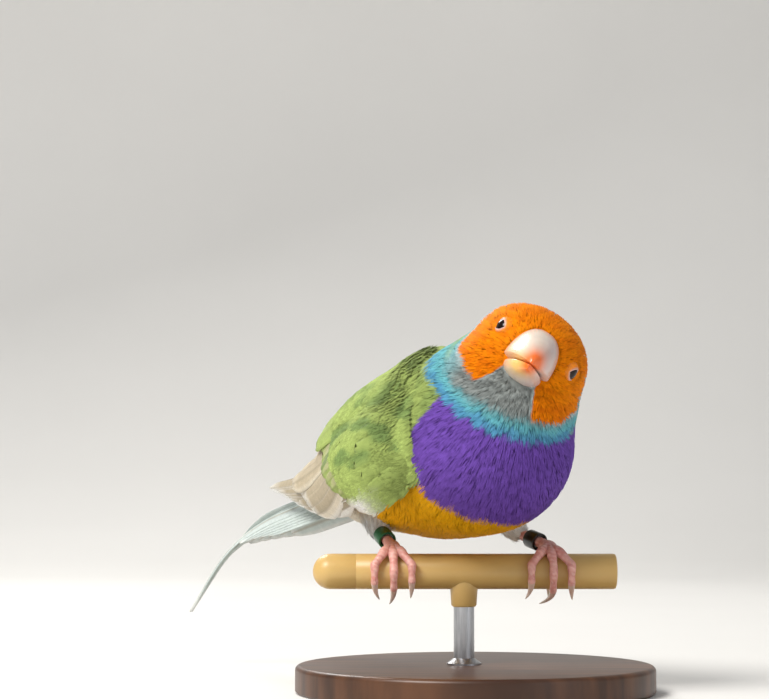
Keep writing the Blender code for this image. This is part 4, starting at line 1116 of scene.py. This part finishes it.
def build_bill():
    def culmen(s):
        return BILL_TIP_HEIGHT + (BILL_TOP - BILL_TIP_HEIGHT) * (1 - s**1.75)**0.72 + 0.1

    def underside(s):
        return LOWER_TIP_HEIGHT - 0.35 + (LOWER_ROOT_HEIGHT - LOWER_TIP_HEIGHT) * (1 - s**1.5)**0.8

    share = (LOWER_TIP - BILL_ROOT) / (BILL_TIP - BILL_ROOT)
    upper = loft(bill_rings(BILL_ROOT, BILL_TIP, culmen, gape, BILL_HALF_WIDTH, 0.12, 60))
    lower = loft(bill_rings(BILL_ROOT, LOWER_TIP, lambda s: gape(s * share) - MOUTH_GAP, underside,
                            LOWER_HALF_WIDTH, 0.88, 50))
    for name, (points, faces) in (("upper", upper), ("lower", lower)):
        piece = mesh_object(f"horn_{name}", points, faces, HORN, bill_colours(points))
        faces_out(piece)
        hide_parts(f"bill_{name}")


EYE_MATERIAL = noisy_material("eyeball", srgb(30, 14, 8), srgb(10, 5, 4), 900, 0.1,
                              specular=0.3)


def lid_profile(height):
    """A low rounded rim above and a deep skirt below, down into the plumage."""
    return np.where(height > 0, 0.6 * height, 4.0 * height)


def build_eyes():
    """A dark glossy ball in each socket and a soft rim of bare lid with rows of small bumps."""
    for side, sign in (("right", -1), ("left", 1)):
        centre = in_head((EYE_CENTRE[0], sign * EYE_CENTRE[1], EYE_CENTRE[2]))
        out = unit(EYE_FACING[0] * HEAD[0] + EYE_FACING[1] * sign * HEAD[1])
        across = unit(np.cross(HEAD[2], out))
        up = np.cross(out, across)
        points, faces = ball(centre, np.stack([out, across, up]), np.full(3, EYE_RADIUS))
        piece = mesh_object(f"eyeball_{side}", points, faces, EYE_MATERIAL)
        faces_out(piece)
        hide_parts(f"eye_{side}")
        phi = np.linspace(0, 2 * np.pi, 96, endpoint=False)
        theta = np.linspace(0, 2 * np.pi, 16, endpoint=False)
        rows = []
        for a in phi:
            spoke = np.cos(a) * across + np.sin(a) * up
            inner = (LID_RADIUS - LID_THICK) * (0.86 - LID_NARROW * np.abs(np.sin(a)))
            outer = LID_RADIUS + 0.1
            reach = (inner + outer) / 2 + (outer - inner) / 2 * np.cos(theta)
            on_ball = np.sqrt(np.maximum(EYE_RADIUS**2 - reach**2, 0.3))
            bumps = 1 + 0.12 * np.cos(26 * a)
            height = on_ball + 0.03 + LID_THICK * bumps * lid_profile(np.sin(theta))
            rows.append(centre + reach[:, None] * spoke + height[:, None] * out)
        points = np.array(rows).reshape(-1, 3)
        faces = closed_ring(len(phi), len(theta))
        inward = np.tile(-np.cos(theta), len(phi))
        colours = blend(np.broadcast_to(ORANGE, points.shape), srgb(214, 164, 150), step(inward, 0.35, 0.5))
        lid = mesh_object(f"lid_{side}", points, faces, SKIN_BARE, colours)
        faces_out(lid)


# Legs

def pad_centre(side):
    a = np.radians(PAD_ANGLE)
    reach = TOE_GRIP + 0.15
    return np.array([PAD_X[side], -reach * np.sin(a), PERCH_HEIGHT + reach * np.cos(a)])


def toe_path(side, spread, travelled, backward=False):
    turn = travelled / TOE_GRIP
    angle = np.radians(PAD_ANGLE) + np.where(backward, -1, 1) * turn
    x = PAD_X[side] + spread * np.minimum(travelled / 6.0, 1)**1.2
    y, z = -TOE_GRIP * np.sin(angle), TOE_GRIP * np.cos(angle)
    return np.stack([x, y, PERCH_HEIGHT + z], -1)


SCUTE_LENGTH = 0.72


def build_toe(side, digit, backward=False):
    """(toe, claw) with scutes along the toe and a smooth curved claw."""
    _, spread, length, claw, hook = digit
    along = np.linspace(0, length, 90)
    share = along / length
    base = TOE_RADII[0] + (TOE_RADII[1] - TOE_RADII[0]) * share
    base = base * (1 + 0.09 * np.cos(2 * np.pi * 3 * share))
    wave = (along / SCUTE_LENGTH) % 1
    path = toe_path(side, spread, along, backward)
    outward = unit(path - np.array([0, 0, PERCH_HEIGHT]) - path * np.array([1, 0, 0]))
    path = path + outward * (TOE_RADII[0] - base)[:, None] * -0.6
    sides = 24
    phi = np.linspace(0, 2 * np.pi, sides, endpoint=False)[:, None]
    tangent = unit(np.gradient(path, axis=0))
    rings = []
    for point, forward, up_dir, radius, w in zip(path, tangent, outward, base, wave):
        right = np.cross(forward, up_dir)
        top = np.clip(np.sin(phi), 0, 1)**0.7
        groove = 0.06 * np.exp(-((phi - 0.35) / 0.15)**2)
        scute = 1 + top * 0.10 * (np.sqrt(w) - 0.55) - groove
        rings.append(point + radius * scute * (np.cos(phi) * right + np.sin(phi) * up_dir))
    rings.append(path[-1] + tangent[-1] * 0.1 + (rings[-1] - path[-1]) * 0.72)
    toe = loft(rings)
    end = path[-1]
    straight = unit(path[-1] - path[-2])
    inward = unit(np.array([0, -end[1], PERCH_HEIGHT - end[2]]))
    s = np.linspace(0, 1, 30)
    start = end + straight * 0.05
    bend = start + straight * (claw + GAP) * s[:, None] + inward * 0.16 * claw * (s**2)[:, None]
    bend[:, 0] += hook * s**2
    nail = tube(bend, 0.6 * (1 - s)**0.75 + 0.05, 16, (1, 0, 0))
    return toe, nail


def leg_colours(points, seed):
    base = np.broadcast_to(srgb(228, 168, 156), points.shape)
    colours = blend(base, srgb(204, 128, 118), step(wave_noise(points, 1.4, seed), 0.1, 1.0) * 0.6)
    return blend(colours, srgb(240, 198, 186), step(wave_noise(points, 0.7, seed + 1), 0.4, 0.8) * 0.5)


def build_leg(side):
    ankle, pad = np.array(ANKLES[side]), pad_centre(side)
    length = np.linalg.norm(pad - ankle)
    up_leg = unit(ankle - pad)
    across = unit(np.cross((0, 0, 1.0), up_leg))
    axes = np.stack([up_leg, across, np.cross(up_leg, across)])
    shapes = [ball(pad, axes, np.array(PAD_RADII), 16, 24)]
    nails = {}
    digits = [(digit, False) for digit in TOES[side]] + [(HALLUX, True)]
    for digit, backward in digits:
        toe, nail = build_toe(side, digit, backward)
        shapes.append(toe)
        nails[digit[0]] = nail
    points, faces = merged(shapes)
    foot = mesh_object(f"toes_{side}", points, faces, SKIN_BARE, leg_colours(points, 21))
    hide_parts(f"foot_{side}")
    for name, (points, faces) in nails.items():
        far = np.linalg.norm(points - points[-2], axis=1) / 5
        colours = np.broadcast_to(srgb(214, 178, 160), points.shape)
        colours = blend(colours, srgb(236, 222, 208), np.clip(far, 0, 1))
        claw = mesh_object(f"nail_{side}_{name}", points, faces, HORN, colours)
        faces_out(claw)
        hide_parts(f"claw_{side}_{name}")
    s = np.linspace(THIGH_SHARE - 0.06, 1 - 0.9 / length, 120)
    wave = (s * length / 1.25) % 1
    path = ankle + (pad - ankle) * s[:, None]
    radius = TARSUS_RADIUS * (1 + 0.12 * (1 - wave) ** 2 - 0.04)
    points, faces = tube(path, radius, 28)
    shank = mesh_object(f"shank_{side}", points, faces, SKIN_BARE, leg_colours(points, 31))
    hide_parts(f"tarsus_{side}")
    build_thigh(side, ankle, pad)


def build_thigh(side, ankle, pad):
    """The feathered thigh: a core and barbs that lie down along it."""
    end = ankle + (pad - ankle) * THIGH_SHARE
    s = np.linspace(0, 1, 24)
    line = THIGH_ROOTS[side] + (end - THIGH_ROOTS[side]) * s[:, None]
    radii = np.interp(s * 7, (0, 4, 7), THIGH_RADII) - 0.55
    points, faces = tube(line, radii, 28)
    colours = np.broadcast_to(0.3 * YELLOW + 0.7 * WHITE, points.shape)
    core = mesh_object(f"thigh_core_{side}", points, faces, COAT, colours)
    faces_out(core)
    add_uv(core, "OFBake", np.stack([np.linspace(0.02, 0.98, len(points)), 0.5 + 0 * points[:, 0]], 1))
    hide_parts(f"thigh_{side}")
    t = RANDOM.uniform(0.1, 0.95, THIGH_BARBS)
    phi = RANDOM.uniform(0, 2 * np.pi, THIGH_BARBS)
    along = unit(end - np.array(THIGH_ROOTS[side]))
    side_axis = unit(np.cross(along, (0, 0, 1.0)))
    up = np.cross(side_axis, along)
    normal = np.cos(phi)[:, None] * side_axis + np.sin(phi)[:, None] * up
    radius = np.interp(t * 7, (0, 4, 7), THIGH_RADII) - 0.6
    root = THIGH_ROOTS[side] + (end - THIGH_ROOTS[side]) * t[:, None] + normal * radius[:, None]
    heading = unit(along + RANDOM.normal(0, 0.16, (THIGH_BARBS, 3)))
    reach = RANDOM.uniform(2.0, 3.2, THIGH_BARBS) * np.interp(t, (0.1, 0.93), (1.2, 0.65))
    slant = np.interp(t, (0, 0.93), (-0.12, -0.3))[:, None]
    middle = root + heading * (reach * 0.5)[:, None] + normal * 0.35
    tip = root + heading * reach[:, None] + normal * (0.4 + slant * reach[:, None])
    tone = (1 + RANDOM.normal(0, 0.09, THIGH_BARBS))[:, None]
    base = np.broadcast_to(YELLOW * 0.5 + WHITE * 0.6, root.shape)
    base = blend(base, WHITE * 1.1, step(t, 0.5, 0.6)) * tone
    # Painted shade and light: each barb is darker at its root and lighter at its tip.
    colours = np.stack([base * 0.86] * 3 + [base * 0.97] * 3 + [base * 1.08], 1)
    sides = unit(np.cross(normal, heading))
    widths = np.full(THIGH_BARBS, THIGH_BARB_WIDTH)
    barb_mesh(f"thigh_coat_{side}", np.stack([root, middle, tip], 1), sides, normal, widths, widths * 0.6,
              np.clip(colours, 0, 1), np.stack([0.02 + 0.95 * t, 0.02 + 0.95 * phi / 6.2832], 1))


def build_rings():
    """The two leg rings as smooth bands with rounded edges."""
    green = noisy_material("green_band", srgb(34, 104, 62), srgb(22, 84, 48), 260, 0.32, 0.01)
    black = noisy_material("black_band", srgb(24, 24, 25), srgb(12, 12, 13), 260, 0.3, 0.01)
    for side, material in (("right", green), ("left", black)):
        ankle, pad = np.array(ANKLES[side]), pad_centre(side)
        along = unit(pad - ankle)
        end = pad - along * RING_ABOVE_PAD
        begin = end - along * RING_LENGTH
        side_axis = unit(np.cross(along, (0, 0, 1.0)))
        up = np.cross(side_axis, along)
        middle = (RING_INNER + RING_OUTER) / 2
        half = (RING_OUTER - RING_INNER) / 2
        corner = 0.12
        outline = []
        for a0, dx, dr in ((0, 1, 1), (90, -1, 1), (180, -1, -1), (270, 1, -1)):
            for a in np.radians(np.linspace(a0, a0 + 90, 5)):
                outline.append((RING_LENGTH / 2 + dx * (RING_LENGTH / 2 - corner) + corner * np.cos(a),
                                middle + dr * (half - corner) + corner * np.sin(a)))
        outline = np.array(outline)
        phi = np.linspace(0, 2 * np.pi, 80, endpoint=False)
        rows = []
        for a in phi:
            spoke = np.cos(a) * side_axis + np.sin(a) * up
            rows.append(begin + along * outline[:, :1] + spoke * outline[:, 1:])
        points = np.array(rows).reshape(-1, 3)
        faces = closed_ring(len(phi), len(outline))
        band = mesh_object(f"band_{side}", points, faces, material)
        faces_out(band)
        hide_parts(f"leg_ring_{side}")


# Perch and stand

def build_perch_and_stand():
    plastic = noisy_material("moulded_plastic", srgb(216, 180, 112), srgb(204, 166, 98), 60, 0.38, 0.02,
                             subsurface=0.1)
    length = PERCH_RIGHT - PERCH_LEFT
    dome = [(PERCH_RADIUS * (1 - np.cos(a)), PERCH_RADIUS * np.sin(a))
            for a in np.radians(np.linspace(6, 90, 15))]
    mould = PERCH_RADIUS - 0.05
    end = [(length - 0.5, PERCH_RADIUS), (length - 0.15, PERCH_RADIUS - 0.12),
           (length, PERCH_RADIUS - 0.45)]
    profile = [*dome, (7.9, PERCH_RADIUS), (8.0, mould), (8.1, PERCH_RADIUS), *end]
    start = np.array([PERCH_LEFT, 0, PERCH_HEIGHT])
    bar = turned(profile, start, (1.0, 0, 0), 72)
    top = np.array([BOSS_X, 0, PERCH_HEIGHT - 1.0])
    boss_length = PERCH_RADIUS - 1.0 + BOSS_LENGTH
    profile = [(0, BOSS_RADII[0]), (boss_length - 0.3, BOSS_RADII[1] + 0.03),
               (boss_length, BOSS_RADII[1] - 0.25)]
    points, faces = merged([bar, turned(profile, top, (0, 0, -1.0), 48)])
    perch = mesh_object("perch_bar", points, faces, plastic)
    perch.data.set_sharp_from_angle(angle=np.radians(40))
    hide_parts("perch")
    wood = noisy_material("oiled_walnut", srgb(98, 62, 38), srgb(62, 38, 24), 42, 0.38, 0.05,
                          stretch=(1, 9, 1))
    edge_height, edge_radius = BASE_THICKNESS - BASE_BEVEL, BASE_RADIUS - BASE_BEVEL
    curve = [(edge_height + BASE_BEVEL * np.sin(a), edge_radius + BASE_BEVEL * np.cos(a))
             for a in np.radians(np.linspace(0, 90, 9))]
    profile = [(0, BASE_RADIUS - 0.4), (0.4, BASE_RADIUS), *curve, (BASE_THICKNESS, 6.0)]
    points, faces = turned(profile, np.zeros(3), (0, 0, 1.0), 160)
    base = mesh_object("stand_disc", points, faces, wood)
    base.data.set_sharp_from_angle(angle=np.radians(40))
    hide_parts("stand_base")
    steel = noisy_material("brushed_steel", srgb(196, 197, 200), srgb(168, 170, 174), 300, 0.32, 0.01,
                           stretch=(8, 8, 0.6))
    steel.node_tree.nodes["Principled BSDF"].inputs["Metallic"].default_value = 1.0
    low = BASE_THICKNESS
    high = PERCH_HEIGHT - PERCH_RADIUS - BOSS_LENGTH + 0.5
    curve = [(0.3 + 0.9 * np.sin(a), ROD_RADIUS + 1.3 - 1.3 * np.sin(a))
             for a in np.radians(np.linspace(0, 90, 7))]
    profile = [(0, 3.2), *curve, (high - low, ROD_RADIUS)]
    points, faces = turned(profile, np.array([BOSS_X, 0, low]), (0, 0, 1.0), 64)
    rod = mesh_object("stand_post", points, faces, steel)
    rod.data.set_sharp_from_angle(angle=np.radians(50))
    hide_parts("stand_rod")


# Floor, light and camera

CAMERA_AT = (-16.6, -395.0, PERCH_HEIGHT + 14.0)
CAMERA_PITCH = 3.9
LENS = 100.0


def area_light(name, place, target, size, power, colour=(1, 1, 1)):
    lamp = bpy.data.lights.new(name, "AREA")
    lamp.shape = "DISK"
    lamp.size = size
    lamp.energy = power
    lamp.color = colour
    made = bpy.data.objects.new(name, lamp)
    made.location = place
    made.rotation_euler = (Vector(target) - Vector(place)).to_track_quat("-Z", "Y").to_euler()
    bpy.context.scene.collection.objects.link(made)


def build_studio():
    mesh = bpy.data.meshes.new("floor")
    size, depth, rise, bend = 2.5, 0.9, 1.8, 0.35
    profile = [(-1.4, 0.0), (depth - bend, 0.0)]
    profile += [(depth - bend + bend * np.sin(a), bend - bend * np.cos(a))
                for a in np.radians(range(10, 91, 10))]
    profile.append((depth, rise))
    points = [(x, y, z) for y, z in profile for x in (-size, size)]
    faces = [(2 * i, 2 * i + 1, 2 * i + 3, 2 * i + 2) for i in range(len(profile) - 1)]
    mesh.from_pydata(points, [], faces)
    mesh.shade_smooth()
    mesh.materials.append(noisy_material("pale_floor", srgb(238, 236, 232), srgb(232, 230, 226), 3, 0.75))
    floor = bpy.data.objects.new("floor", mesh)
    bpy.context.scene.collection.objects.link(floor)
    target = (0, 0, 0.045)
    area_light("key", (-0.42, -0.42, 0.62), target, 0.35, 7.0, (1.0, 0.98, 0.95))
    area_light("fill", (0.6, -0.5, 0.25), target, 0.6, 0.8, (0.93, 0.96, 1.0))
    area_light("rim", (-0.25, 0.5, 0.5), target, 0.3, 2.4, (1.0, 0.99, 0.97))
    world = bpy.data.worlds.new("studio")
    world.use_nodes = True
    world.node_tree.nodes["Background"].inputs["Color"].default_value = (0.82, 0.84, 0.87, 1)
    world.node_tree.nodes["Background"].inputs["Strength"].default_value = 0.36
    bpy.context.scene.world = world
    bpy.context.scene.view_settings.view_transform = "Standard"
    camera = bpy.data.cameras.new("camera")
    camera.lens = LENS
    camera.sensor_width = 36.0
    camera.clip_start = 0.01
    camera.dof.use_dof = False
    made = bpy.data.objects.new("camera", camera)
    made.location = [c * MM for c in CAMERA_AT]
    made.rotation_euler = (np.radians(90 + CAMERA_PITCH), 0, 0)
    bpy.context.scene.collection.objects.link(made)
    bpy.context.scene.camera = made


grid = build_skin()
barbs_on_skin(*scattered(grid))
for wing_side in ("right", "left"):
    build_wing(wing_side)
    build_leg(wing_side)
build_tail()
build_bill()
build_eyes()
build_rings()
build_perch_and_stand()
build_studio()
